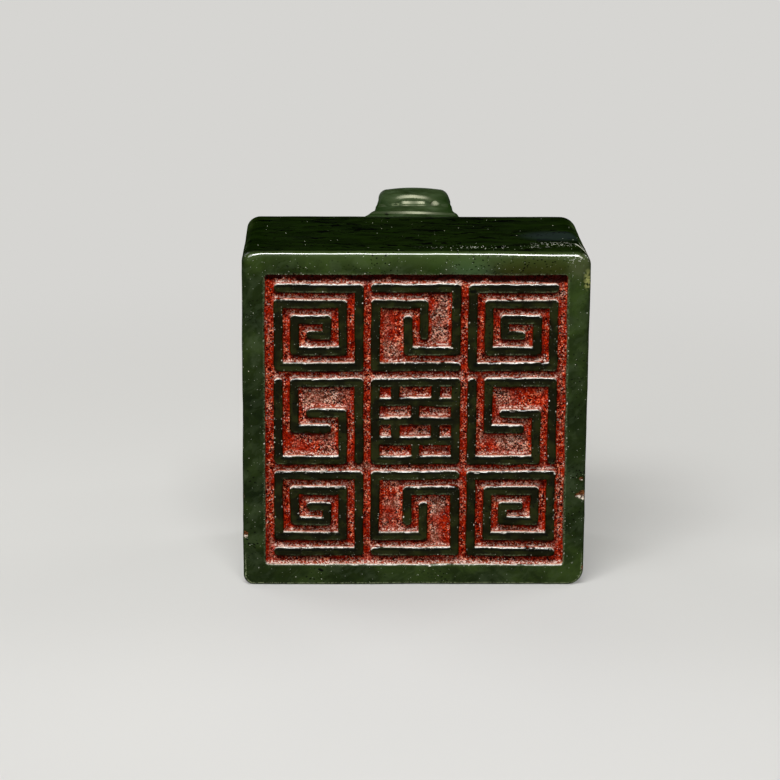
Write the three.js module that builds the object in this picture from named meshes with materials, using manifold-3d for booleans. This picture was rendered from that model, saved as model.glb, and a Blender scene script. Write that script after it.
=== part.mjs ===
// A large jade seal lying on its side, printing face to the front, arched carrying handle behind.
// Millimetres, +Z up, standing on z = 0 with the origin under the middle of its bounding box.
import * as THREE from "three";
import { mergeVertices } from "three/addons/utils/BufferGeometryUtils.js";
import Module from "manifold-3d";

const wasm = await Module();
wasm.setup();

// Stone block: the printing face is width by height, and the block runs back from it by depth
const WIDTH = 100;
const HEIGHT = 99.5;
const BLOCK_DEPTH = 55;
// Long edges are ground by hand, so each corner of the face has a radius of its own
const CORNER_RADIUS = { topLeft: 2.4, topRight: 4, bottomRight: 4.8, bottomLeft: 3 };
const RIM_ROUND = 1.2;

// Sunken field that leaves the raised border round the printing face
const BORDER_SIDE = 6.4;
const BORDER_TOP = 6.6;
const BORDER_BOTTOM = 6.2;
const FIELD_DEPTH = 3.6;
const FIELD_CORNER_RADIUS = 1.2;

// Raised ornament: strokes on a square grid of lines
const STROKE_WIDTH = 2.4;
const FIELD_MARGIN = 2.8;
const LINES_PER_CELL = 6;
const CELLS_PER_SIDE = 3;
// Brick lattice in the middle cell: bricks are half as long as the cell is wide, laid in bond
const LATTICE_COURSES = 4;
const LATTICE_JOINTS = [[0, 1 / 2, 1], [0, 1 / 4, 3 / 4, 1]];

// Layer of dried seal paste left between the strokes
const PASTE_THICKNESS = 0.8;
const PASTE_CLEARANCE = 0.3;

// Arched handle: a strap bent over the back of the block, standing on two flared feet
const HANDLE_RISE = 68.5;
const HANDLE_OFFSET = 1.3;
const HANDLE_INSET = 0.4;
const LEG_LEAN = THREE.MathUtils.degToRad(1.5);
const STRAP_WIDTH = 22.4;
const STRAP_THICKNESS = 13;
const STRAP_CROWN = 0.7;
const STRAP_EDGE_RADIUS = 3.2;
const SHOULDER_RADIUS = 10;
const TOP_BOW_ANGLE = THREE.MathUtils.degToRad(10);
// Each foot spreads in a straight line from its waist down to the block
const WAIST_WIDTH = 23.8;
const FOOT_WIDTH = 33.6;
const FOOT_THICKNESS = 17;
const FOOT_LENGTH = 23;
const FOOT_CROWN = 0.2;
const FOOT_EDGE_RADIUS = 1.4;

// Smoothness of curves
const ARC_STEPS = 3;
const RIM_STEPS = 3;
const SHOULDER_STEPS = 8;
const TOP_STEPS = 6;
const FOOT_STEPS = 4;
const LEG_STEPS = 3;
const EDGE_STEPS = 4;
const CROWN_STEPS = 4;

const OVERALL_LENGTH = BLOCK_DEPTH + HANDLE_RISE;

const JADE_DARK = new THREE.MeshStandardMaterial({ color: 0x2b3a1c, roughness: 0.25, metalness: 0 });
const JADE_PALE = new THREE.MeshStandardMaterial({ color: 0x5d7a45, roughness: 0.2, metalness: 0 });
const PASTE_RED = new THREE.MeshStandardMaterial({ color: 0x7c1f14, roughness: 0.8, metalness: 0 });

// Closed mesh with merged corners, as a solid for cutting
function toSolid(geometry) {
  const bare = geometry.clone();
  bare.deleteAttribute("normal");
  bare.deleteAttribute("uv");
  const welded = mergeVertices(bare, 1e-4);
  return new wasm.Manifold(
    new wasm.Mesh({
      numProp: 3,
      vertProperties: new Float32Array(welded.attributes.position.array),
      triVerts: new Uint32Array(welded.index.array),
    }),
  );
}

function toGeometry(solid) {
  const mesh = solid.getMesh();
  const geometry = new THREE.BufferGeometry();
  geometry.setAttribute("position", new THREE.BufferAttribute(mesh.vertProperties, 3));
  geometry.setIndex(new THREE.BufferAttribute(mesh.triVerts, 1));
  return geometry;
}

// Outlines are drawn looking at the printing face: x to the right, y up, from the face's lower middle
function roundedRectangle(outline, left, bottom, right, top, radius) {
  const quarter = Math.PI / 2;
  const { topLeft, topRight, bottomRight, bottomLeft } = radius;
  outline.absarc(right - bottomRight, bottom + bottomRight, bottomRight, -quarter, 0, false);
  outline.absarc(right - topRight, top - topRight, topRight, 0, quarter, false);
  outline.absarc(left + topLeft, top - topLeft, topLeft, quarter, 2 * quarter, false);
  outline.absarc(left + bottomLeft, bottom + bottomLeft, bottomLeft, 2 * quarter, 3 * quarter, false);
  outline.closePath();
  return outline;
}

function evenRadius(radius) {
  return { topLeft: radius, topRight: radius, bottomRight: radius, bottomLeft: radius };
}

// Flat outline pushed back from the face: from front to back are depths behind the printing face
function slab(outline, front, back) {
  const geometry = new THREE.ExtrudeGeometry(outline, {
    depth: back - front,
    bevelEnabled: false,
    curveSegments: ARC_STEPS,
  });
  return geometry.translate(0, 0, -back);
}

const FIELD = {
  left: -WIDTH / 2 + BORDER_SIDE,
  right: WIDTH / 2 - BORDER_SIDE,
  bottom: BORDER_BOTTOM,
  top: HEIGHT - BORDER_TOP,
};
const GRID_LINES = LINES_PER_CELL * CELLS_PER_SIDE;
const GRID_INSET = FIELD_MARGIN + STROKE_WIDTH / 2;
const PITCH_X = (FIELD.right - FIELD.left - 2 * GRID_INSET) / (GRID_LINES - 1);
const PITCH_Y = (FIELD.top - FIELD.bottom - 2 * GRID_INSET) / (GRID_LINES - 1);

// Centre of a grid crossing, from its cell and its line within that cell
function gridPoint(cell, line) {
  return new THREE.Vector2(
    FIELD.left + GRID_INSET + (cell.x * LINES_PER_CELL + line.x) * PITCH_X,
    FIELD.bottom + GRID_INSET + (cell.y * LINES_PER_CELL + line.y) * PITCH_Y,
  );
}

const LAST_LINE = LINES_PER_CELL - 1;
// Square spiral that winds inwards over every line of its cell
function spiral() {
  const points = [[0, 0]];
  for (let low = 0, high = LAST_LINE; low < high; low++, high--) {
    points.push([high, low], [high, high], [low, high]);
    if (low + 1 < high) points.push([low, low + 1]);
  }
  return points;
}

// One of a pair of hooks that clasp each other, the second being the first turned half round
function hook() {
  const middle = Math.ceil(LAST_LINE / 2);
  return [[LAST_LINE, 0], [0, 0], [0, LAST_LINE - 1], [middle, LAST_LINE - 1], [middle, LAST_LINE - middle]];
}

const KEEP = (x, y) => [x, y];
const MIRROR_X = (x, y) => [LAST_LINE - x, y];
const MIRROR_Y = (x, y) => [x, LAST_LINE - y];
const HALF_TURN = (x, y) => [LAST_LINE - x, LAST_LINE - y];
const SWAP = (x, y) => [y, x];
const SWAP_HALF_TURN = (x, y) => [LAST_LINE - y, LAST_LINE - x];

function strokeLine(column, row, lines, turn) {
  const cell = new THREE.Vector2(column, row);
  return lines.map(([x, y]) => gridPoint(cell, new THREE.Vector2(...turn(x, y))));
}

// Four spirals in the corner cells, a pair of hooks in each cell between them
const STROKES = [
  strokeLine(0, 2, spiral(), MIRROR_Y),
  strokeLine(2, 2, spiral(), HALF_TURN),
  strokeLine(0, 0, spiral(), KEEP),
  strokeLine(2, 0, spiral(), MIRROR_X),
  strokeLine(1, 2, hook(), KEEP),
  strokeLine(1, 2, hook(), HALF_TURN),
  strokeLine(1, 0, hook(), MIRROR_X),
  strokeLine(1, 0, hook(), MIRROR_Y),
  strokeLine(0, 1, hook(), SWAP),
  strokeLine(0, 1, hook(), SWAP_HALF_TURN),
  strokeLine(2, 1, hook(), SWAP),
  strokeLine(2, 1, hook(), SWAP_HALF_TURN),
];

// Band of even width along a line of right angles: round ends, round outer and square inner corners
function strokeOutline(points, halfWidth) {
  const outline = new THREE.Shape();
  const start = points[1].clone().sub(points[0]).normalize();
  outline.moveTo(points[0].x + start.y * halfWidth, points[0].y - start.x * halfWidth);
  const sides = [points, [...points].reverse()];
  for (const side of sides) {
    for (let i = 1; i < side.length; i++) {
      const corner = side[i];
      const arriving = corner.clone().sub(side[i - 1]).normalize();
      const outwards = Math.atan2(-arriving.x, arriving.y);
      if (i === side.length - 1) {
        outline.absarc(corner.x, corner.y, halfWidth, outwards, outwards + Math.PI, false);
        continue;
      }
      const leaving = side[i + 1].clone().sub(corner).normalize();
      if (arriving.cross(leaving) > 0) {
        outline.absarc(corner.x, corner.y, halfWidth, outwards, outwards + Math.PI / 2, false);
      } else {
        const inner = leaving.clone().sub(arriving).multiplyScalar(halfWidth).add(corner);
        outline.lineTo(inner.x, inner.y);
      }
    }
  }
  return outline;
}

// Corners of the lattice in the middle cell, on the centre lines of its outer strokes
const LATTICE_CELL = new THREE.Vector2(1, 1);
const LATTICE_LOW = gridPoint(LATTICE_CELL, new THREE.Vector2(0, 0));
const LATTICE_HIGH = gridPoint(LATTICE_CELL, new THREE.Vector2(LAST_LINE, LAST_LINE));

function latticeOutline(halfWidth) {
  return roundedRectangle(
    new THREE.Shape(),
    LATTICE_LOW.x - halfWidth,
    LATTICE_LOW.y - halfWidth,
    LATTICE_HIGH.x + halfWidth,
    LATTICE_HIGH.y + halfWidth,
    evenRadius(halfWidth),
  );
}

// One rectangle for each opening between the lattice's strokes, course by course from the bottom
function latticeWindows(halfWidth) {
  const windows = [];
  const size = LATTICE_HIGH.clone().sub(LATTICE_LOW);
  for (let course = 0; course < LATTICE_COURSES; course++) {
    const bottom = LATTICE_LOW.y + (size.y * course) / LATTICE_COURSES + halfWidth;
    const top = LATTICE_LOW.y + (size.y * (course + 1)) / LATTICE_COURSES - halfWidth;
    const joints = LATTICE_JOINTS[course % LATTICE_JOINTS.length];
    for (let brick = 1; brick < joints.length; brick++) {
      const left = LATTICE_LOW.x + size.x * joints[brick - 1] + halfWidth;
      const right = LATTICE_LOW.x + size.x * joints[brick] - halfWidth;
      windows.push(
        new THREE.Shape([
          new THREE.Vector2(left, bottom),
          new THREE.Vector2(right, bottom),
          new THREE.Vector2(right, top),
          new THREE.Vector2(left, top),
        ]),
      );
    }
  }
  return windows;
}

// Floor of the field as one outline, with the strokes as holes: clearance keeps it off every wall
function fieldOutline(clearance) {
  const halfWidth = STROKE_WIDTH / 2 + clearance;
  const outline = roundedRectangle(
    new THREE.Shape(),
    FIELD.left + clearance,
    FIELD.bottom + clearance,
    FIELD.right - clearance,
    FIELD.top - clearance,
    evenRadius(FIELD_CORNER_RADIUS - clearance),
  );
  outline.holes = [...STROKES.map((points) => strokeOutline(points, halfWidth)), latticeOutline(halfWidth)];
  return outline;
}

// Block with softened rims, hollowed between the strokes so that they stand up from the field's floor
function sealBlock() {
  const face = roundedRectangle(new THREE.Shape(), -WIDTH / 2, 0, WIDTH / 2, HEIGHT, CORNER_RADIUS);
  const block = new THREE.ExtrudeGeometry(face, {
    depth: BLOCK_DEPTH - 2 * RIM_ROUND,
    bevelThickness: RIM_ROUND,
    bevelSize: RIM_ROUND,
    bevelOffset: -RIM_ROUND,
    bevelSegments: RIM_STEPS,
    curveSegments: ARC_STEPS,
  }).translate(0, 0, RIM_ROUND - BLOCK_DEPTH);
  const overrun = RIM_ROUND;
  const hollows = [fieldOutline(0), ...latticeWindows(STROKE_WIDTH / 2)];
  return toGeometry(
    hollows.reduce(
      (solid, outline) => solid.subtract(toSolid(slab(outline, -overrun, FIELD_DEPTH))),
      toSolid(block),
    ),
  );
}

function pasteLayer(outline) {
  return slab(outline, FIELD_DEPTH - PASTE_THICKNESS, FIELD_DEPTH);
}

// Middle line of half the arch, from the block's back to the top: rise off the block and height over
// the handle's middle, with the direction that it runs in
function archLine() {
  const halfThickness = STRAP_THICKNESS / 2;
  const shoulderHeight = HEIGHT / 2 - HANDLE_INSET - halfThickness;
  const turned = TOP_BOW_ANGLE - Math.PI / 2;
  const shoulderRise = SHOULDER_RADIUS * (Math.sin(LEG_LEAN) - Math.sin(turned));
  const shoulderDrop = SHOULDER_RADIUS * (Math.cos(LEG_LEAN) - Math.cos(turned));
  const topRadius = (shoulderHeight - shoulderDrop) / Math.cos(turned);
  const topRise = topRadius * (1 + Math.sin(turned));
  const legLength = HANDLE_RISE - halfThickness - shoulderRise - topRise;
  const onArc = (start, radius, from, to) => ({
    rise: start.rise + radius * (Math.sin(from) - Math.sin(to)),
    height: start.height - radius * (Math.cos(from) - Math.cos(to)),
    direction: to,
  });
  const legEnd = { rise: legLength, height: shoulderHeight, direction: LEG_LEAN };
  const line = [];
  const addLeg = (rise) =>
    line.push({
      rise,
      height: shoulderHeight - (legLength - rise) * Math.tan(LEG_LEAN),
      direction: (LEG_LEAN * rise) / legLength,
    });
  for (let i = 0; i < FOOT_STEPS; i++) addLeg((FOOT_LENGTH * i) / FOOT_STEPS);
  for (let i = 0; i < LEG_STEPS; i++) addLeg(THREE.MathUtils.lerp(FOOT_LENGTH, legLength, i / LEG_STEPS));
  for (let i = 0; i <= SHOULDER_STEPS; i++) {
    const direction = THREE.MathUtils.lerp(LEG_LEAN, turned, i / SHOULDER_STEPS);
    line.push(onArc(legEnd, SHOULDER_RADIUS, LEG_LEAN, direction));
  }
  const shoulderEnd = line[line.length - 1];
  for (let i = 1; i <= TOP_STEPS; i++) {
    const direction = THREE.MathUtils.lerp(turned, -Math.PI / 2, i / TOP_STEPS);
    line.push(onArc(shoulderEnd, topRadius, turned, direction));
  }
  return line;
}

// Size of the strap at a rise over the block: its foot, its waist where the foot ends, then its top
function strapSize(rise) {
  const { lerp, clamp } = THREE.MathUtils;
  const spread = 1 - clamp(rise / FOOT_LENGTH, 0, 1);
  const taper = clamp((rise - FOOT_LENGTH) / (HANDLE_RISE - FOOT_LENGTH), 0, 1);
  return {
    width: spread > 0 ? lerp(WAIST_WIDTH, FOOT_WIDTH, spread) : lerp(WAIST_WIDTH, STRAP_WIDTH, taper),
    inwardGrowth: (FOOT_THICKNESS - STRAP_THICKNESS) * spread ** 2,
    crown: lerp(FOOT_CROWN, STRAP_CROWN, taper),
    edgeRadius: lerp(FOOT_EDGE_RADIUS, STRAP_EDGE_RADIUS, taper),
  };
}

// Cross-section of the strap as points (across, outwards): crowned outer side, four rounded edges
function strapSection({ width, inwardGrowth, crown, edgeRadius }) {
  const outer = STRAP_THICKNESS / 2;
  const inner = -STRAP_THICKNESS / 2 - inwardGrowth;
  const side = width / 2 - edgeRadius;
  const points = [];
  const addEdge = (across, outwards, from) => {
    for (let i = 0; i <= EDGE_STEPS; i++) {
      const angle = from + (Math.PI / 2) * (i / EDGE_STEPS);
      points.push([across + edgeRadius * Math.cos(angle), outwards + edgeRadius * Math.sin(angle)]);
    }
  };
  addEdge(side, outer - crown - edgeRadius, 0);
  for (let i = 1; i < CROWN_STEPS; i++) {
    const across = side - (2 * side * i) / CROWN_STEPS;
    points.push([across, outer - crown * (across / side) ** 2]);
  }
  addEdge(-side, outer - crown - edgeRadius, Math.PI / 2);
  addEdge(-side, inner + edgeRadius, Math.PI);
  addEdge(side, inner + edgeRadius, (3 * Math.PI) / 2);
  return points;
}

// Strap lofted along the arch: the sections of the upper half, then the same mirrored for the lower
function bridgeHandle() {
  const upper = archLine().map((station) => ({ ...station, mirror: 1 }));
  const lower = upper.slice(0, -1).reverse().map((station) => ({ ...station, mirror: -1 }));
  const positions = [];
  const index = [];
  let ringSize = 0;
  for (const { rise, height, direction, mirror } of [...upper, ...lower]) {
    const section = strapSection(strapSize(rise));
    ringSize = section.length;
    for (const [across, outwards] of section) {
      positions.push(
        HANDLE_OFFSET + across,
        HEIGHT / 2 + mirror * (height + outwards * Math.cos(direction)),
        -BLOCK_DEPTH - rise + outwards * Math.sin(direction),
      );
    }
  }
  const rings = positions.length / 3 / ringSize;
  for (let ring = 0; ring < rings - 1; ring++) {
    for (let i = 0; i < ringSize; i++) {
      const next = (i + 1) % ringSize;
      const a = ring * ringSize + i;
      const b = ring * ringSize + next;
      index.push(a, a + ringSize, b, b, a + ringSize, b + ringSize);
    }
  }
  const lastRing = (rings - 1) * ringSize;
  for (let i = 1; i < ringSize - 1; i++) {
    index.push(0, i, i + 1);
    index.push(lastRing, lastRing + i + 1, lastRing + i);
  }
  const geometry = new THREE.BufferGeometry();
  geometry.setAttribute("position", new THREE.Float32BufferAttribute(positions, 3));
  geometry.setIndex(index);
  return geometry;
}

// Lays the seal on its side: what faced up off the printing face now faces the front, exactly
const LAID_DOWN = new THREE.Matrix4().set(1, 0, 0, 0, 0, 0, -1, 0, 0, 1, 0, 0, 0, 0, 0, 1);

const seal = new THREE.Group();
seal.position.y = -OVERALL_LENGTH / 2;

function addPiece(name, geometry, material) {
  const laid = geometry.clone().applyMatrix4(LAID_DOWN);
  laid.computeVertexNormals();
  const piece = new THREE.Mesh(laid, material);
  piece.name = name;
  seal.add(piece);
}

addPiece("seal_block", sealBlock(), JADE_DARK);
addPiece("bridge_handle", bridgeHandle(), JADE_PALE);
addPiece("paste_bed", pasteLayer(fieldOutline(PASTE_CLEARANCE)), PASTE_RED);
latticeWindows(STROKE_WIDTH / 2 + PASTE_CLEARANCE).forEach((outline, i) => {
  addPiece(`paste_window_${String(i + 1).padStart(2, "0")}`, pasteLayer(outline), PASTE_RED);
});

export default seal;
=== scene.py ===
"""Jade seal stamp lying on one side, its carved face to the front and its bridge handle behind.

The stone, its carving, the red paste and the handle are each built as meshes in millimetres of the
row frame and scaled to metres when they become objects.
"""

import logging
import math
from collections.abc import Callable, Sequence
from dataclasses import dataclass, field
from enum import Enum

import bpy
import numpy as np
from mathutils import Matrix, Vector

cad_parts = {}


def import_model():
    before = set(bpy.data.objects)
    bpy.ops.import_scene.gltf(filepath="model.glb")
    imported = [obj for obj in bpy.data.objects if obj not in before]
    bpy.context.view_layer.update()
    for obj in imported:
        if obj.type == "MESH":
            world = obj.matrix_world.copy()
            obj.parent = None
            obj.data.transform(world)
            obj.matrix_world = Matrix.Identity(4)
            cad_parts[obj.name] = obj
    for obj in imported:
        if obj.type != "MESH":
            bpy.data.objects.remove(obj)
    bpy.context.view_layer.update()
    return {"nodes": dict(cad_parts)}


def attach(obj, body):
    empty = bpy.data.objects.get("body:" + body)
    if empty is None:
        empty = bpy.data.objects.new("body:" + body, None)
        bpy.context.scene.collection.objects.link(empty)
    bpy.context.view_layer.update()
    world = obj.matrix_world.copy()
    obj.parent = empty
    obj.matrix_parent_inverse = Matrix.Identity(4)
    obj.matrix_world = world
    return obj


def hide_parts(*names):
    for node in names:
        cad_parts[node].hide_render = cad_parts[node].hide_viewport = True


Array = np.ndarray
Point = tuple[float, float, float]
Shade = tuple[int, int, int]
Curve = tuple[tuple[float, ...], tuple[float, ...]]
log = logging.getLogger("seal_stamp")

MM = 0.001
FACE_Y = -61.75
BACK_Y = -6.75
FIELD_DEPTH = 3.6


def linear(red: int, green: int, blue: int) -> tuple[float, float, float, float]:
    """Turns a colour of 0 to 255, as seen on a screen, into the light that a shader works with.

    Args:
        red: Red, 0 to 255.
        green: Green, 0 to 255.
        blue: Blue, 0 to 255.

    Returns:
        Red, green, blue and an alpha of 1.
    """
    shown = np.array([red, green, blue]) / 255
    light = np.where(shown <= 0.04045, shown / 12.92, ((shown + 0.055) / 1.055) ** 2.4)
    return (*(float(c) for c in light), 1.0)


def smooth_noise(points: Array, size: float, seed: int) -> Array:
    """Smooth random values in space, the same on every run.

    Args:
        points: Places in millimetres, one per row.
        size: Distance over which the value changes, in millimetres.
        seed: Picks one pattern.

    Returns:
        One value from -1 to 1 for each place.
    """
    scaled = np.asarray(points, float) / size
    corner = np.floor(scaled).astype(np.int64)
    part = scaled - corner
    part = part * part * part * (part * (part * 6 - 15) + 10)
    total = np.zeros(len(scaled))
    for step in range(8):
        offset = np.array([step & 1, step >> 1 & 1, step >> 2 & 1])
        key = (corner + offset) @ np.array([73856093, 19349663, 83492791]) + seed * 2654435761
        key = (key ^ (key >> 13)) & 0xFFFFFFFF
        key = (key * 1274126177) & 0xFFFFFFFF
        key = ((key ^ (key >> 16)) * 2246822519) & 0xFFFFFFFF
        value = (key ^ (key >> 15)) / 0xFFFFFFFF * 2 - 1
        total += value * np.prod(np.where(offset, part, 1 - part), axis=1)
    return total


def layered_noise(points: Array, size: float, seed: int, layers: int = 3) -> Array:
    """Smooth noise with finer noise laid over it.

    Args:
        points: Places in millimetres, one per row.
        size: Distance over which the coarsest layer changes.
        seed: Picks one pattern.
        layers: Number of layers, each half as large and half as strong as the last.

    Returns:
        One value, about -1 to 1, for each place.
    """
    total = sum(smooth_noise(points, size / 2**i, seed + i) / 2**i for i in range(layers))
    return total / sum(1 / 2**i for i in range(layers))


def ease(value: Array, low: float, high: float) -> Array:
    """Runs smoothly from 0 at low to 1 at high."""
    part = np.clip((value - low) / (high - low), 0, 1)
    return part * part * (3 - 2 * part)


def bell(value: Array, centre: float, reach: float, power: int = 2) -> Array:
    """1 at the centre, falling off smoothly on both sides; a higher power has a flatter top."""
    return np.exp(-(((value - centre) / reach) ** power))


def upward(points: Array, rows: int, columns: int) -> Array:
    """How far a grid's surface faces up, judged from its neighbours.

    Args:
        points: The grid's points, row by row from the bottom.
        rows: Number of rows.
        columns: Number of points in a row.

    Returns:
        The upward part of each point's normal, from -1 to 1.
    """
    net = points.reshape(rows, columns, 3)
    normal = np.cross(np.gradient(net, axis=1), np.gradient(net, axis=0))
    return (normal[..., 2] / np.maximum(np.linalg.norm(normal, axis=2), 1e-9)).ravel()


class Pattern(Enum):
    """How a strip of rings closes."""

    OPEN = "open"
    CLOSED = "closed"


def grid_faces(rows: int, columns: int, across: Pattern) -> Array:
    """Quads over a grid of vertices numbered row by row.

    Args:
        rows: Number of rows.
        columns: Number of vertices in a row.
        across: CLOSED joins each row's last vertex to its first.

    Returns:
        Four vertex numbers for each face.
    """
    last = columns if across is Pattern.CLOSED else columns - 1
    row, column = np.meshgrid(np.arange(rows - 1), np.arange(last), indexing="ij")
    beside = (column + 1) % columns
    quad = [row * columns + column, row * columns + beside,
            (row + 1) * columns + beside, (row + 1) * columns + column]
    return np.stack([corner.ravel() for corner in quad], axis=1)


def make_object(
    name: str,
    points: Array,
    faces: Sequence[Sequence[int]] | Array,
    attributes: dict[str, Array],
    sharp_angle: float,
    sheet: Array | None = None,
) -> bpy.types.Object:
    """Builds a mesh object from points in millimetres of the row frame.

    Args:
        name: Name of the piece.
        points: One vertex per row, in millimetres.
        faces: Vertex numbers of each face.
        attributes: Values per vertex that the finish reads, by name.
        sharp_angle: Edges that turn more than this many degrees are drawn sharp.
        sheet: Flat place of each vertex, from 0 to 1, where the surface unrolls into one sheet.

    Returns:
        The new object, linked to the scene.
    """
    mesh = bpy.data.meshes.new(name)
    mesh.from_pydata((np.asarray(points) * MM).tolist(), [], [list(face) for face in faces])
    mesh.validate()
    for key, values in attributes.items():
        layer = mesh.attributes.new(key, "FLOAT", "POINT")
        layer.data.foreach_set("value", np.asarray(values, np.float32))
    if sheet is not None:
        corners = np.empty(len(mesh.loops), np.int32)
        mesh.loops.foreach_get("vertex_index", corners)
        flat = mesh.uv_layers.new(name="OFBake")
        flat.uv.foreach_set("vector", np.asarray(sheet, np.float32)[corners].ravel())
    mesh.polygons.foreach_set("use_smooth", [True] * len(mesh.polygons))
    mesh.set_sharp_from_angle(angle=math.radians(sharp_angle))
    mesh.update()
    piece = bpy.data.objects.new(name, mesh)
    bpy.context.scene.collection.objects.link(piece)
    return piece


# Shader graph


@dataclass(frozen=True)
class Signal:
    """A socket's value over the surface. Its operators add Math nodes to the graph."""

    graph: "Graph"
    socket: bpy.types.NodeSocket | None

    def math(self, operation: str, *values: "Signal | float", clamp: bool = False) -> "Signal":
        """Adds a Math node with this signal as its first value.

        Args:
            operation: Name of the Math node's operation.
            values: The other values.
            clamp: Whether the result is held between 0 and 1.

        Returns:
            The node's result.
        """
        settings = {"operation": operation, "use_clamp": clamp}
        inputs = dict(enumerate((self, *values)))
        return self.graph.add("ShaderNodeMath", settings, inputs)

    def __add__(self, other: "Signal | float") -> "Signal":
        """Sum."""
        return self.math("ADD", other)

    __radd__ = __add__

    def __sub__(self, other: "Signal | float") -> "Signal":
        """Difference."""
        return self.math("SUBTRACT", other)

    def __rsub__(self, other: float) -> "Signal":
        """A number less this signal."""
        return self.graph.add("ShaderNodeMath", {"operation": "SUBTRACT"}, {0: other, 1: self})

    def __mul__(self, other: "Signal | float") -> "Signal":
        """Product."""
        return self.math("MULTIPLY", other)

    __rmul__ = __mul__

    def __gt__(self, other: "Signal | float") -> "Signal":
        """1 where this signal is greater, and 0 elsewhere."""
        return self.math("GREATER_THAN", other)

    def clamped(self) -> "Signal":
        """This signal held between 0 and 1."""
        return self.math("ADD", 0.0, clamp=True)

    def rise(self, low: float, high: float) -> "Signal":
        """Turns this signal into a smooth step.

        Args:
            low: Value up to which the result is 0.
            high: Value from which it is 1.

        Returns:
            A value from 0 to 1.
        """
        settings = {"interpolation_type": "SMOOTHSTEP"}
        inputs = {"Value": self, "From Min": low, "From Max": high}
        return self.graph.add("ShaderNodeMapRange", settings, inputs)

    def largest(self, other: "Signal | float") -> "Signal":
        """The greater of two values."""
        return self.math("MAXIMUM", other)


Input = Signal | float | Sequence[float]


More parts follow.
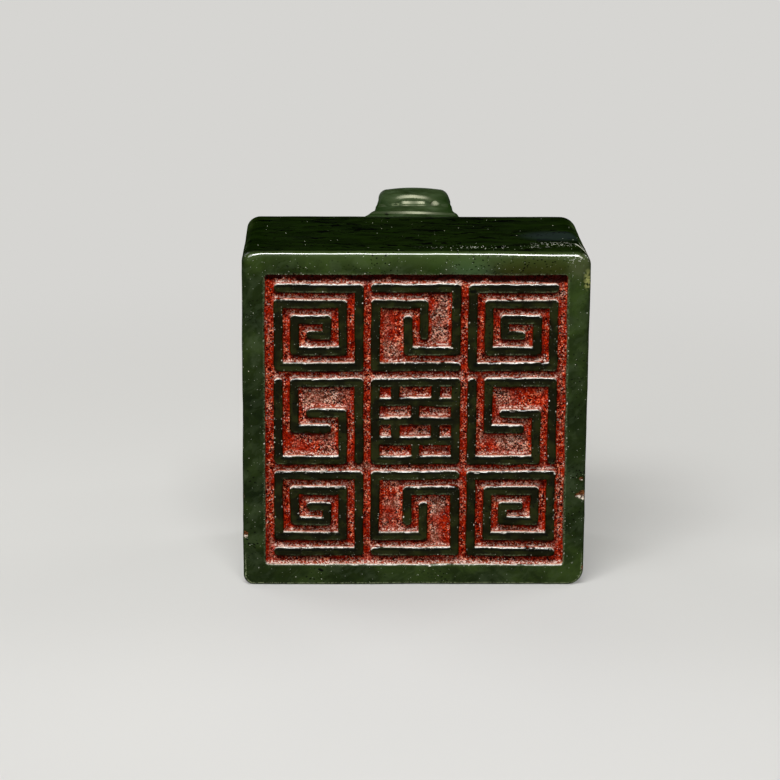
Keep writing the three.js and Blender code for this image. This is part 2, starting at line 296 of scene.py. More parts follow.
class Graph:
    """Adds nodes to a node tree."""

    def __init__(self, tree: bpy.types.NodeTree) -> None:
        """Empties the tree.

        Args:
            tree: The node tree of a material or world.
        """
        self.tree = tree
        tree.nodes.clear()

    def add(
        self,
        kind: str,
        settings: dict[str, object] | None = None,
        inputs: dict[str | int, Input] | None = None,
        output: str | int = 0,
    ) -> Signal:
        """Adds any node.

        Args:
            kind: The node's type.
            settings: Its own settings, set first; "stops" holds a ramp's (place, colour) pairs.
            inputs: Values or signals by socket name or number.
            output: Name or number of the socket to return.

        Returns:
            The chosen output.
        """
        node = self.tree.nodes.new(kind)
        for key, value in (settings or {}).items():
            if key == "stops":
                stops = node.color_ramp.elements
                while len(stops) < len(value):
                    stops.new(1.0)
                for stop, (place, colour) in zip(stops, value):
                    stop.position = place
                    stop.color = colour
            else:
                setattr(node, key, value)
        for key, value in (inputs or {}).items():
            if isinstance(value, Signal):
                self.tree.links.new(value.socket, node.inputs[key])
            else:
                node.inputs[key].default_value = value
        return Signal(self, node.outputs[output] if len(node.outputs) else None)

    def vector(self, operation: str, *values: Input, output: int = 0) -> Signal:
        """Adds a Vector Math node.

        Args:
            operation: Name of the operation.
            values: Vectors, in order.
            output: 0 for a vector and 1 for a number.

        Returns:
            The chosen output.
        """
        settings = {"operation": operation}
        return self.add("ShaderNodeVectorMath", settings, dict(enumerate(values)), output)

    def blend(self, share: Signal, first: Signal | Shade, second: Signal | Shade) -> Signal:
        """Mixes two colours.

        Args:
            share: How much of the second colour shows.
            first: Colour at 0, as a signal or as seen on a screen.
            second: Colour at 1, as a signal or as seen on a screen.

        Returns:
            The mixed colour.
        """
        pair = [shade if isinstance(shade, Signal) else linear(*shade) for shade in (first, second)]
        inputs = {0: share, 6: pair[0], 7: pair[1]}
        return self.add("ShaderNodeMix", {"data_type": "RGBA"}, inputs, output=2)

    def ramp(self, value: Signal, *stops: tuple[float, Shade]) -> Signal:
        """Turns a value into a colour by a ramp's stops, each a place and a colour on a screen."""
        lights = [(place, linear(*shade)) for place, shade in stops]
        return self.add("ShaderNodeValToRGB", {"stops": lights}, {"Fac": value})

    def noise(self, place: Signal, size: float, detail: float = 3.0, roughness: float = 0.55,
              distortion: float = 0.0) -> Signal:
        """Noise whose features are about size millimetres across, from 0 to 1.

        Args:
            place: Place in millimetres.
            size: Size of its features in millimetres.
            detail: Number of finer layers.
            roughness: Strength of the finer layers.
            distortion: How much it swirls.

        Returns:
            The noise value.
        """
        inputs = {"Vector": place, "Scale": 1 / size, "Detail": detail,
                  "Roughness": roughness, "Distortion": distortion}
        return self.add("ShaderNodeTexNoise", {"noise_dimensions": "3D"}, inputs)

    def specks(self, place: Signal, spacing: float, radius: float, share: float) -> Signal:
        """Scattered round specks.

        Args:
            place: Place in millimetres.
            spacing: Distance between the spots where a speck may lie.
            radius: Radius of a speck in millimetres.
            share: Share of those spots that have one, from 0 to 1.

        Returns:
            1 inside a speck, falling to 0 at its edge.
        """
        inputs = {"Vector": place, "Scale": 1 / spacing, "Randomness": 1.0}
        cell = self.add("ShaderNodeTexVoronoi", {"feature": "F1"}, inputs, "Distance")
        colour = Signal(self, cell.socket.node.outputs["Color"])
        chance = self.add("ShaderNodeSeparateColor", {}, {0: colour}, "Red")
        reach = radius / spacing
        return (1 - cell.rise(reach * 0.6, reach)) * (chance > 1 - share)

    def grit(self, place: Signal, size: float) -> Signal:
        """A different even value in each grain of crushed grit.

        Args:
            place: Place in millimetres.
            size: Size of a grain in millimetres.

        Returns:
            A value from 0 to 1.
        """
        inputs = {"Vector": place, "Scale": 1 / size, "Randomness": 1.0}
        cell = self.add("ShaderNodeTexVoronoi", {"feature": "F1"}, inputs, "Color")
        return self.add("ShaderNodeSeparateColor", {}, {0: cell}, "Red")

    def scratch(self, place: Signal, start: Point, end: Point, width: float) -> Signal:
        """A thin straight mark.

        Args:
            place: Place in millimetres.
            start: One end.
            end: The other end.
            width: Half its width in millimetres.

        Returns:
            1 on the mark and 0 beside it.
        """
        way = np.array(end) - np.array(start)
        length = float(np.linalg.norm(way))
        unit = tuple(float(part) for part in way / length)
        away = self.vector("SUBTRACT", place, start)
        along = self.vector("DOT_PRODUCT", away, unit, output=1)
        along = along.largest(0.0).math("MINIMUM", length)
        beside = self.vector("SUBTRACT", away, self.vector("MULTIPLY", along, unit))
        return 1 - self.vector("LENGTH", beside, output=1).rise(width * 0.5, width)

    def place(self) -> Signal:
        """Place on the object in millimetres of the row frame."""
        coordinates = self.add("ShaderNodeTexCoord", output="Object")
        return self.vector("MULTIPLY", coordinates, (1000, 1000, 1000))

    def attribute(self, name: str) -> Signal:
        """Value that the mesh holds under this name."""
        return self.add("ShaderNodeAttribute", {"attribute_name": name}, output="Fac")

    def upright(self) -> Signal:
        """How far the surface faces up, from -1 to 1."""
        way = self.add("ShaderNodeNewGeometry", output="Normal")
        return self.add("ShaderNodeSeparateXYZ", {}, {0: way}, "Z")

    def bump(self, height: Signal, strength: float, distance: float) -> Signal:
        """Turns fine height into a normal.

        Args:
            height: Height over the surface.
            strength: How much of it is used.
            distance: Metres that a height of 1 stands for.

        Returns:
            The normal.
        """
        inputs = {"Strength": strength, "Distance": distance, "Height": height}
        return self.add("ShaderNodeBump", {}, inputs)

    def surface(self, colour: Signal, dull: Signal, normal: Signal,
                sockets: dict[str, Input]) -> None:
        """Ends the graph in one Principled surface.

        Args:
            colour: Base colour.
            dull: Roughness, held between 0 and 1 here.
            normal: Its normal.
            sockets: Values or signals of the shader's other sockets.
        """
        inputs = {"Base Color": colour, "Roughness": dull.clamped(), "Normal": normal, **sockets}
        shader = self.add("ShaderNodeBsdfPrincipled", {}, inputs)
        self.add("ShaderNodeOutputMaterial", {}, {"Surface": shader})


def new_material(name: str) -> tuple[bpy.types.Material, Graph]:
    """Makes a material with an empty graph.

    Args:
        name: Name of the material.

    Returns:
        The material and its graph.
    """
    material = bpy.data.materials.new(name)
    material.use_nodes = True
    return material, Graph(material.node_tree)


# Finishes


@dataclass(frozen=True)
class Area:
    """Oval area of the object: its middle, its half lengths and the share over which it fades."""

    centre: Point
    reach: Point
    soft: float

    def mask(self, graph: Graph, place: Signal) -> Signal:
        """Marks the area, with a soft edge.

        Args:
            graph: The material's graph.
            place: Place in millimetres.

        Returns:
            1 in its middle and 0 outside.
        """
        away = graph.vector("SUBTRACT", place, self.centre)
        inverse = tuple(1 / length for length in self.reach)
        far = graph.vector("LENGTH", graph.vector("MULTIPLY", away, inverse), output=1)
        return 1 - far.rise(1 - self.soft, 1 + self.soft * 0.4)


@dataclass(frozen=True)
class Zone(Area):
    """Area of the stone with a colour of its own."""

    share: float
    shade: Shade


class Coat:
    """Colour of a surface, built up in layers."""

    def __init__(self, graph: Graph, colour: Signal) -> None:
        """Starts from the bare surface.

        Args:
            graph: Graph that takes the layers' nodes.
            colour: Colour of the bare surface.
        """
        self.graph = graph
        self.colour = colour

    def paint(self, share: Signal, shade: Signal | Shade) -> None:
        """Lays a colour over the rest; share says how much of it shows."""
        self.colour = self.graph.blend(share, self.colour, shade)

    def tint(self, zone: Zone, place: Signal, mask: Signal | None = None) -> None:
        """Lays a zone's colour over the rest.

        Args:
            zone: The zone.
            place: Place in millimetres.
            mask: Where else the colour is held to, if anywhere.
        """
        shown = zone.mask(self.graph, place)
        if mask is not None:
            shown = shown * mask
        self.paint(shown * zone.share, zone.shade)


@dataclass(frozen=True)
class JadeFinish:
    """Polished nephrite with clouds, dark flecks and dust. Colours are as seen on a screen."""

    name: str
    deep: Shade
    body: Shade
    light: Shade
    milky: Shade
    # Lighter jade painted as highlight where the rim attribute marks polished rims and relief.
    glow: Shade
    roughness: float = 0.14
    fleck_share: float = 0.3
    dust_share: float = 0.4
    gloss: float = 0.05
    painted_highlight_share: float = 0.5
    coat_ior: float = 2.1
    coat_roughness: float = 0.14
    stained: tuple[Shade, Shade] = ((17, 15, 3), (35, 37, 12))
    film: tuple[Shade, Shade] = ((40, 4, 1), (150, 34, 12))
    # Pale paste on upward walls, white as painted highlight near their top edge.
    crust_and_painted_highlight: tuple[Shade, Shade] = ((248, 240, 228), (220, 138, 108))
    broken: tuple[Shade, Shade] = ((44, 20, 8), (136, 84, 50))
    # Painted highlight where a chip's broken surface faces up.
    chip_highlight: Shade = (232, 222, 204)
    flecked: Shade = (5, 7, 2)
    dusty: Shade = (216, 220, 200)
    # Rubbed marks, and painted highlight dots and a streak on the block's front rim.
    frost_and_painted_highlight: Shade = (212, 214, 198)
    # Painted highlight lines along edges.
    edge_highlight: Shade = (172, 184, 140)
    glinting: Shade = (228, 222, 206)
    shadowed: Shade = (4, 5, 2)

    def material(self) -> bpy.types.Material:
        """Builds the material.

        Returns:
            The jade material.
        """
        material, graph = new_material(self.name)
        place = graph.place()
        swirl = graph.add("ShaderNodeTexNoise", {}, {"Vector": place, "Scale": 0.09, "Detail": 3.0},
                          "Color")
        bent = graph.vector("ADD", place, graph.vector("MULTIPLY", swirl, (7.0, 7.0, 7.0)))
        grain = graph.noise(place, 0.6, 4.0, 0.7)
        frost_and_highlight = self._frost_and_highlight(graph, place)
        rim, depth, chip = (graph.attribute(name) for name in ("rim", "depth", "chip"))
        coat = Coat(graph, self._clouds(graph, bent))
        self._zones(coat, place, bent)
        # Painted highlight: lighter jade on polished rims, stroke edges and the handle's relief.
        coat.paint(rim.clamped() * self.painted_highlight_share, self.glow)
        self._dirt(coat, place, bent)
        # Rubbed marks, and on the block's front rim painted highlight dots and a streak.
        coat.paint(frost_and_highlight * 0.9, self.frost_and_painted_highlight)
        self._traces(coat, place, grain)
        self._damage(coat, place, grain)
        height = (graph.noise(place, 5.0, 3.0) + graph.noise(place, 0.5, 3.0) * 0.05
                  + frost_and_highlight * grain * 0.12 + chip * grain * 0.9)
        polish = self.gloss + rim + graph.attribute("gloss") - depth * 2.0 - chip
        dull = self.roughness + graph.noise(place, 9.0, 4.0) * 0.08 + frost_and_highlight * 0.3 + chip * 0.4
        graph.surface(coat.colour, dull, graph.bump(height, 0.35, 0.00016), {
            "Specular IOR Level": 0.0, "Coat Weight": polish.clamped(),
            "Coat Roughness": self.coat_roughness, "Coat IOR": self.coat_ior,
        })
        return material

    def _clouds(self, graph: Graph, bent: Signal) -> Signal:
        """Broad clouds with milky and clear green parts.

        Args:
            graph: The material's graph.
            bent: Swirled place in millimetres.

        Returns:
            Colour of the bare stone.
        """
        clouds = graph.noise(bent, 22.0, 4.0, 0.55, 0.6)
        patches = graph.noise(bent, 6.0, 4.0, 0.55)
        mottle = graph.noise(bent, 1.8, 4.0, 0.6)
        tone = clouds * 0.6 + patches * 0.28 + mottle * 0.12
        stops = [(0.38, self.deep), (0.5, self.body), (0.62, self.light)]
        coat = Coat(graph, graph.ramp(tone, *stops))
        milk = graph.noise(graph.vector("ADD", bent, (40.0, 0.0, 0.0)), 8.0, 4.0, 0.6)
        coat.paint(milk.rise(0.5, 0.66) * 0.4, self.milky)
        slant = graph.add("ShaderNodeVectorRotate", {"rotation_type": "Y_AXIS"},
                          {"Vector": bent, "Angle": 0.7})
        wisps = graph.noise(graph.vector("MULTIPLY", slant, (0.3, 1.0, 1.0)), 1.9, 3.0, 0.6)
        coat.paint(wisps.rise(0.5, 0.64) * 0.22, self.milky)
        return coat.colour

    def _zones(self, coat: Coat, place: Signal, bent: Signal) -> None:
        """Adds this stone's own zones, none on a plain stone."""

    def _crowd(self, graph: Graph, place: Signal) -> Signal | float:
        """Where the black flecks are thick besides."""
        return 0.0

    def _frost_and_highlight(self, graph: Graph, place: Signal) -> Signal:
        """Fine rubbed marks, hardly any on a plain stone."""
        return graph.noise(place, 1.2, 2.0).rise(0.8, 0.9)

    def _dirt(self, coat: Coat, place: Signal, bent: Signal) -> None:
        """Darkens the inked strokes, and adds black flecks and dust.

        Args:
            coat: Colour so far.
            place: Place in millimetres.
            bent: Swirled place in millimetres.
        """
        graph = coat.graph
        stain = graph.attribute("stain")
        smears = graph.noise(bent, 5.0, 4.0).rise(0.44, 0.62)
        coat.paint(stain * 0.92, graph.blend(smears, *self.stained))
        crowd = graph.noise(place, 14.0, 2.0).rise(0.44, 0.6).largest(self._crowd(graph, place))
        small = graph.specks(graph.vector("MULTIPLY", bent, (0.75, 0.5, 1.0)), 0.8, 0.27,
                             self.fleck_share * 2)
        large = graph.specks(graph.vector("MULTIPLY", bent, (0.6, 0.5, 1.0)), 7.0, 0.75,
                             self.fleck_share)
        coat.paint((small * crowd).largest(large) * 0.95, self.flecked)
        flat = graph.vector("MULTIPLY", place, (1.0, 0.4, 1.0))
        coarse = graph.specks(flat, 1.5, 0.14, self.dust_share)
        fine = graph.specks(flat, 0.8, 0.11, self.dust_share) * (1 - graph.upright().rise(0.6, 0.9))
        coat.paint(coarse.largest(fine * 0.5) * (1 - stain * 0.55) * 0.85, self.dusty)

    def _traces(self, coat: Coat, place: Signal, grain: Signal) -> None:
        """Adds the paste left in the carving: a red film, and broken pale paste and painted
        highlight on ledges.

        Args:
            coat: Colour so far.
            place: Place in millimetres.
            grain: Fine noise of the stone.
        """
        graph = coat.graph
        depth = graph.attribute("depth")
        coat.paint(depth.rise(0.06, 0.26) * 0.94, graph.blend(grain.rise(0.38, 0.6), *self.film))
        grit = graph.grit(place, 0.4)
        breaks = graph.noise(place, 2.6, 3.0).rise(0.36, 0.48) * (0.3 + grit.rise(0.2, 0.4) * 0.7)
        reach = (depth + (grit - 0.5) * 0.36).rise(0.34, 0.54)
        # Pale layer on the upward walls: white painted highlight near the top edge, paste pink
        # deeper down.
        ledge = graph.attribute("facing_up").clamped().rise(0.2, 0.6) * depth.rise(0.015, 0.05)
        coat.paint(ledge * (1 - reach) * breaks, graph.blend(depth.rise(0.1, 0.3), *self.crust_and_painted_highlight))

    def _damage(self, coat: Coat, place: Signal, grain: Signal) -> None:
        """Adds chips, painted highlights on chips and edges, painted glints and painted shade.

        Args:
            coat: Colour so far.
            place: Place in millimetres.
            grain: Fine noise of the stone.
        """
        graph = coat.graph
        upright = graph.upright()
        broken = graph.blend(grain.rise(0.42, 0.58), *self.broken)
        # Painted highlight on the upward faces of chips.
        chip_lit_share = upright.rise(0.0, 0.4) * (1 - upright.rise(0.7, 0.9)) * grain.rise(0.46, 0.54)
        coat.paint(graph.attribute("chip"), graph.blend(chip_lit_share, broken, self.chip_highlight))
        # Painted highlight lines along edges, broken by grain.
        coat.paint(graph.attribute("edge") * grain.rise(0.42, 0.58) * 0.75, self.edge_highlight)
        glints = graph.specks(place, 0.7, 0.22, 0.3) * graph.attribute("glint")
        coat.paint(glints * 0.95, self.glinting)
        coat.paint(graph.attribute("shaded") * 0.8, self.shadowed)


@dataclass(frozen=True)
class BlockJade(JadeFinish):
    """The block's dark stone, with its pale zones, black streaks, rubbed marks, and painted light
    and shade.
    """

    clouds: tuple[Zone, ...] = (
        Zone((19.0, -58.0, 99.0), (5.5, 9.0, 4.5), 0.7, 0.6, (62, 86, 52)),
        Zone((9.0, -58.0, 99.5), (3.4, 9.0, 5.0), 0.7, 0.7, (24, 44, 5)),
        Zone((36.5, -58.0, 98.5), (11.5, 9.0, 5.5), 0.45, 0.85, (40, 42, 8)),
        Zone((50.0, -58.0, 99.0), (4.5, 9.0, 4.5), 0.6, 0.55, (74, 78, 52)),
    )
    pale: Zone = Zone((53.2, -58.0, 94.6), (1.7, 8.0, 2.6), 0.7, 0.85, (150, 152, 90))
    haze: Zone = Zone((41.0, -38.0, 99.5), (10.5, 7.5, 1.5), 0.6, 0.5, (40, 50, 50))
    # Painted light on the face's top border, just below the front rim.
    lit: Zone = Zone((0.0, -61.9, 99.0), (60.0, 1.7, 4.6), 0.95, 0.5, (74, 94, 44))
    # Top side darkened as painted shade.
    top_painted_shades: tuple[Shade, Shade] = ((7, 17, 1), (16, 30, 3))
    streaked: Shade = (1, 2, 1)
    crack: tuple[Point, Point] = ((-43.9, -61.7, 6.1), (-48.4, -61.7, 1.8))
    cracked: Shade = (10, 16, 5)
    crowds: tuple[Area, Area] = (Area((26.0, -61.0, 98.0), (22.0, 6.0, 6.0), 0.4),
                                 Area((-16.0, -61.0, 97.0), (10.0, 4.0, 4.0), 0.6))
    rubbed: Area = Area((20.0, -54.6, 99.5), (19.0, 2.6, 0.8), 0.6)
    corner: Area = Area((46.5, -61.0, 97.6), (4.6, 3.0, 2.0), 0.7)
    # Painted highlight dots along the right part of the front rim.
    glitter: Area = Area((33.0, -61.6, 98.55), (17.0, 1.2, 0.55), 0.5)
    scored: Area = Area((39.6, -50.4, 99.5), (6.0, 4.4, 0.8), 0.6)
    scratches: tuple[tuple[Point, ...], ...] = (
        ((46.3, -49.4, 99.5), (47.2, -51.6, 99.3), (48.1, -54.3, 98.9), (48.9, -56.9, 98.2)),
        ((47.7, -44.8, 99.1), (48.2, -49.1, 98.8), (48.7, -53.4, 98.5)),
        # This streak is painted highlight at the right end of the front rim.
        ((45.4, -61.5, 98.5), (46.5, -61.5, 98.25), (47.2, -61.5, 97.85)),
    )
    scratch_widths: tuple[float, ...] = (0.4, 0.2, 0.3)

    def _zones(self, coat: Coat, place: Signal, bent: Signal) -> None:
        """Adds the clouds of the upper border, the streaked top side darkened as painted shade, and
        painted light by the front rim.

        Args:
            coat: Colour so far.
            place: Place in millimetres.
            bent: Swirled place in millimetres.
        """
        graph = coat.graph
        for cloud in self.clouds:
            coat.tint(cloud, bent)
        coat.tint(self.pale, bent, graph.noise(place, 0.9, 3.0).rise(0.4, 0.56))
        top = graph.add("ShaderNodeSeparateXYZ", {}, {0: place}, "Z").rise(98.1, 99.3)
        tone = graph.noise(graph.vector("MULTIPLY", bent, (0.2, 0.8, 0.9)), 2.6, 4.0, 0.6)
        streak = graph.noise(graph.vector("MULTIPLY", bent, (0.17, 0.5, 0.9)), 1.7, 4.0, 0.6)
        shade = graph.blend(tone.rise(0.4, 0.62), *self.top_painted_shades)
        # Painted shade: the top side darkened, less near the front rim.
        coat.paint(top * (1 - self.lit.mask(graph, place) * 0.7) * 0.92, shade)
        coat.paint(top * streak.rise(0.575, 0.605) * 0.95, self.streaked)
        coat.tint(self.haze, place, top)
        # Painted light on the face just below the front rim.
        coat.tint(self.lit, place)
        coat.paint(graph.scratch(bent, *self.crack, 0.3) * 0.7, self.cracked)

    def _crowd(self, graph: Graph, place: Signal) -> Signal:
        """Flecks along the right half of the upper border and near the left end."""
        right, left = (area.mask(graph, place) for area in self.crowds)
        return right.largest(left * 0.7)

    def _frost_and_highlight(self, graph: Graph, place: Signal) -> Signal:
        """Rubbed dots along the top side's front edge, scored lines and scratches at its right, and
        painted highlight on the front rim.

        Args:
            graph: The material's graph.
            place: Place in millimetres.

        Returns:
            1 on a mark and 0 beside it.
        """
        deep = graph.vector("MULTIPLY", place, (1.0, 0.35, 1.0))
        dots = graph.specks(deep, 0.5, 0.16, 0.7)
        level = graph.noise(deep, 1.1, 1.0) - 0.5
        lines = 1 - level.math("ABSOLUTE").rise(0.012, 0.024)
        squiggles = lines * graph.noise(deep, 1.6, 1.0).rise(0.42, 0.5)
        areas = (self.rubbed, self.corner, self.glitter, self.scored)
        rubbed, corner, glitter, scored = (area.mask(graph, place) for area in areas)
        marks = (rubbed.largest(corner).largest(glitter) * dots).largest(scored * squiggles)
        for scratch, width in zip(self.scratches, self.scratch_widths):
            for start, end in zip(scratch, scratch[1:]):
                marks = marks.largest(graph.scratch(place, start, end, width))
        return marks


@dataclass(frozen=True)
class HandleJade(JadeFinish):
    """The handle's paler stone, with a dark fleck on one foot and darker green painted as shade
    along its sides.
    """

    # Darker green painted as shade along both sides of the strap.
    clear: tuple[Zone, ...] = (
        Zone((-8.0, 25.0, 102.0), (6.0, 22.0, 9.0), 0.8, 0.95, (20, 42, 5)),
        Zone((17.5, 25.0, 102.0), (6.0, 22.0, 9.0), 0.8, 0.95, (20, 42, 5)),
    )
    fleck: Zone = Zone((-7.5, 8.6, 98.0), (0.75, 1.6, 3.0), 0.5, 0.9, (8, 14, 4))

    def _zones(self, coat: Coat, place: Signal, bent: Signal) -> None:
        """Adds darker green painted as shade along the strap's sides, and the dark fleck.

        Args:
            coat: Colour so far.
            place: Place in millimetres.
            bent: Swirled place in millimetres.
        """
        for zone in self.clear:
            coat.tint(zone, bent)
        coat.tint(self.fleck, place)


@dataclass(frozen=True)
class PasteFinish:
    """Dried red seal paste: gritty, oily where thick and rubbed pale where thin."""

    name: str = "dried_red_paste"
    red: tuple[tuple[float, Shade], ...] = (
        (0.36, (16, 0, 0)), (0.43, (96, 6, 0)), (0.5, (170, 28, 1)), (0.57, (220, 62, 18)),
        (0.66, (255, 170, 128)),
    )
    bare: tuple[tuple[float, Shade], ...] = (
        (0.38, (26, 10, 4)), (0.5, (146, 88, 64)), (0.6, (236, 200, 178)),
    )
    # Near-white specks of grit, partly painted sparkle.
    grains_and_sparkle: Shade = (255, 232, 220)
    cracks: Shade = (26, 1, 0)
    # Colours of the painted light, painted highlight specks and painted shadow by the strokes.
    lit: Shade = (240, 128, 84)
    powder_and_painted_highlight: Shade = (255, 236, 222)
    gloom: tuple[Shade, Shade] = ((14, 0, 0), (66, 6, 1))

    def material(self) -> bpy.types.Material:
        """Builds the material.

        Returns:
            The paste material.
        """
        material, graph = new_material(self.name)
        place = graph.place()
        coarse = graph.noise(place, 1.5, 4.0, 0.65)
        fine = graph.noise(place, 0.34, 2.0, 0.7)
        grit = graph.grit(place, 0.36)
        calm = graph.noise(place, 5.0, 3.0).rise(0.42, 0.58)
        mixed = 0.49 + (coarse * 0.22 + fine * 0.34 + grit * 0.28 - 0.42) * (0.55 + calm * 0.7)
        coat = Coat(graph, graph.ramp(mixed, *self.red))
        thin = graph.attribute("open") * (1 - graph.attribute("pile") * 0.6)
        worn = (graph.noise(place, 13.0, 3.0).rise(0.42, 0.56) * thin).clamped()
        coat.paint(worn * (0.35 + fine.rise(0.42, 0.56) * 0.6), graph.ramp(mixed, *self.bare))
        # White specks of grit, painted partly as sparkle, with a glossy coat.
        grains_and_sparkle = graph.specks(place, 0.62, 0.24, 0.34) * (0.25 + calm * 0.75)
        coat.paint(grains_and_sparkle * 0.95, self.grains_and_sparkle)
        crack = graph.noise(graph.vector("ADD", place, (0.0, 0.0, 90.0)), 0.9, 2.0, 0.5, 0.8)
        coat.paint((1 - crack.rise(0.32, 0.39)) * (0.25 + calm * 0.65), self.cracks)
        # Painted light above the strokes, with white specks of painted highlight, and painted
        # shadow below them and under the top wall.
        lit = graph.attribute("lit")
        coat.paint(lit * 0.3, self.lit)
        coat.paint(lit * grit.rise(0.58, 0.66) * 0.95, self.powder_and_painted_highlight)
        coat.paint(graph.attribute("shaded") * 0.97, graph.blend(fine.rise(0.4, 0.6), *self.gloom))
        normal = graph.bump(coarse * 0.5 + fine * 1.0 + grains_and_sparkle * 0.4, 1.0, 0.0006)
        graph.surface(coat.colour, 0.55 - coarse * 0.25 - grains_and_sparkle * 0.2, normal, {
            "Specular IOR Level": 0.04, "Coat Weight": grains_and_sparkle * 0.5, "Coat Roughness": 0.15,
        })
        return material


@dataclass(frozen=True)
class StudioFinish:
    """Matt paint of the studio floor."""

    name: str = "pale_floor"
    colour: Shade = (224, 223, 220)
    backdrop: Shade = (214, 213, 210)
    evenness: float = 0.3
    reach: tuple[float, float] = (90.0, 420.0)

    def material(self) -> bpy.types.Material:
        """Builds the material: lit paint near the seal, and beyond it the backdrop's even tone.

        Returns:
            The floor material.
        """
        material, graph = new_material(self.name)
        paint = graph.add("ShaderNodeBsdfPrincipled", {}, {
            "Base Color": linear(*self.colour), "Roughness": 0.8, "Specular IOR Level": 0.2,
        })
        glow = {"Color": linear(*self.backdrop), "Strength": 1.0}
        even = graph.add("ShaderNodeEmission", {}, glow)
        place = graph.vector("SUBTRACT", graph.place(), (0, -20, 0))
        away = graph.vector("LENGTH", place, output=1)
        ray = graph.add("ShaderNodeLightPath", output="Is Camera Ray")
        seen = ray
        for name in ("Is Glossy Ray", "Is Transmission Ray"):
            seen = seen.largest(Signal(graph, ray.socket.node.outputs[name]))
        share = seen * (self.evenness + away.rise(*self.reach) * (1 - self.evenness))
        surface = graph.add("ShaderNodeMixShader", {}, {0: share, 1: paint, 2: even})
        graph.add("ShaderNodeOutputMaterial", {}, {"Surface": surface})
        return material


# The carving


@dataclass(frozen=True)
class KeyFret:
    """Raised key fret of the printing face, seen from the front: x to the right, z up."""

    left: float = -43.6
    right: float = 43.6
    bottom: float = 6.2
    top: float = 92.9
    corner: float = 1.2
    stroke: float = 2.4
    margin: float = 2.8
    lines: int = 6
    cells: int = 3

    def crossing(self, column: int, row: int, x: float, z: float) -> tuple[float, float]:
        """Centre of a grid crossing.

        Args:
            column: Cell column from the left.
            row: Cell row from the bottom.
            x: Line within the cell, counted from its left.
            z: Line within the cell, counted from its bottom.

        Returns:
            Its x and z.
        """
        inset = self.margin + self.stroke / 2
        steps = self.lines * self.cells - 1
        pitch_x = (self.right - self.left - 2 * inset) / steps
        pitch_z = (self.top - self.bottom - 2 * inset) / steps
        return (self.left + inset + (column * self.lines + x) * pitch_x,
                self.bottom + inset + (row * self.lines + z) * pitch_z)

    def _spiral(self) -> list[tuple[int, int]]:
        """Square spiral that winds inwards over every line of its cell.

        Returns:
            Lines that it turns at, counted across and up.
        """
        line = [(0, 0)]
        low, high = 0, self.lines - 1
        while low < high:
            line += [(high, low), (high, high), (low, high)]
            if low + 1 < high:
                line.append((low, low + 1))
            low, high = low + 1, high - 1
        return line

    def _hook(self) -> list[tuple[int, int]]:
        """One of a pair of hooks that clasp each other.

        Returns:
            Lines that it turns at, counted across and up.
        """
        last = self.lines - 1
        middle = math.ceil(last / 2)
        return [(last, 0), (0, 0), (0, last - 1), (middle, last - 1), (middle, last - middle)]

    def strokes(self) -> list[list[tuple[float, float]]]:
        """Centre lines of all strokes.

        Returns:
            One list of points for each stroke.
        """
        last = self.lines - 1
        turns: dict[str, Callable[[int, int], tuple[int, int]]] = {
            "keep": lambda x, z: (x, z), "mirror_x": lambda x, z: (last - x, z),
            "mirror_z": lambda x, z: (x, last - z), "half": lambda x, z: (last - x, last - z),
            "swap": lambda x, z: (z, x), "swap_half": lambda x, z: (last - z, last - x),
        }
        spiral, hook = self._spiral(), self._hook()
        plan = [
            (0, 2, spiral, "mirror_z"), (2, 2, spiral, "half"), (0, 0, spiral, "keep"),
            (2, 0, spiral, "mirror_x"), (1, 2, hook, "keep"), (1, 2, hook, "half"),
            (1, 0, hook, "mirror_x"), (1, 0, hook, "mirror_z"), (0, 1, hook, "swap"),
            (0, 1, hook, "swap_half"), (2, 1, hook, "swap"), (2, 1, hook, "swap_half"),
        ]
        lines = [[self.crossing(column, row, *turns[turn](x, z)) for x, z in line]
                 for column, row, line, turn in plan]
        return lines + self._lattice()

    def _lattice(self) -> list[list[tuple[float, float]]]:
        """Brick lattice of the middle cell: four courses with staggered joints.

        Returns:
            One list of points for each of its bars.
        """
        last = self.lines - 1
        courses, joints = 4, [(0, 1 / 2, 1), (0, 1 / 4, 3 / 4, 1)]
        lines = []
        for course in range(courses + 1):
            z = last * course / courses
            lines.append([self.crossing(1, 1, 0, z), self.crossing(1, 1, last, z)])
        for course in range(courses):
            low, high = last * course / courses, last * (course + 1) / courses
            for joint in joints[course % 2]:
                lines.append([self.crossing(1, 1, last * joint, low),
                              self.crossing(1, 1, last * joint, high)])
        return lines

    def clearance(self, x: Array, z: Array) -> Array:
        """Distance into the hollows from the nearest stroke or border.

        Args:
            x: Places across.
            z: Places up.

        Returns:
            Millimetres, negative on the stone that stands.
        """
        near = np.full(x.shape, np.inf)
        for line in self.strokes():
            for (ax, az), (bx, bz) in zip(line, line[1:]):
                length = (bx - ax) ** 2 + (bz - az) ** 2
                along = np.clip(((x - ax) * (bx - ax) + (z - az) * (bz - az)) / length, 0, 1)
                away = np.hypot(x - ax - along * (bx - ax), z - az - along * (bz - az))
                near = np.minimum(near, away)
        return np.minimum(near - self.stroke / 2, self.border(x, z))

    def border(self, x: Array, z: Array) -> Array:
        """Distance into the field from its wall.

        Args:
            x: Places across.
            z: Places up.

        Returns:
            Millimetres, negative on the border.
        """
        half_x, half_z = (self.right - self.left) / 2, (self.top - self.bottom) / 2
        out_x = np.abs(x - (self.left + self.right) / 2) - half_x + self.corner
        out_z = np.abs(z - (self.bottom + self.top) / 2) - half_z + self.corner
        outside = np.hypot(np.maximum(out_x, 0), np.maximum(out_z, 0))
        return self.corner - outside - np.minimum(np.maximum(out_x, out_z), 0)


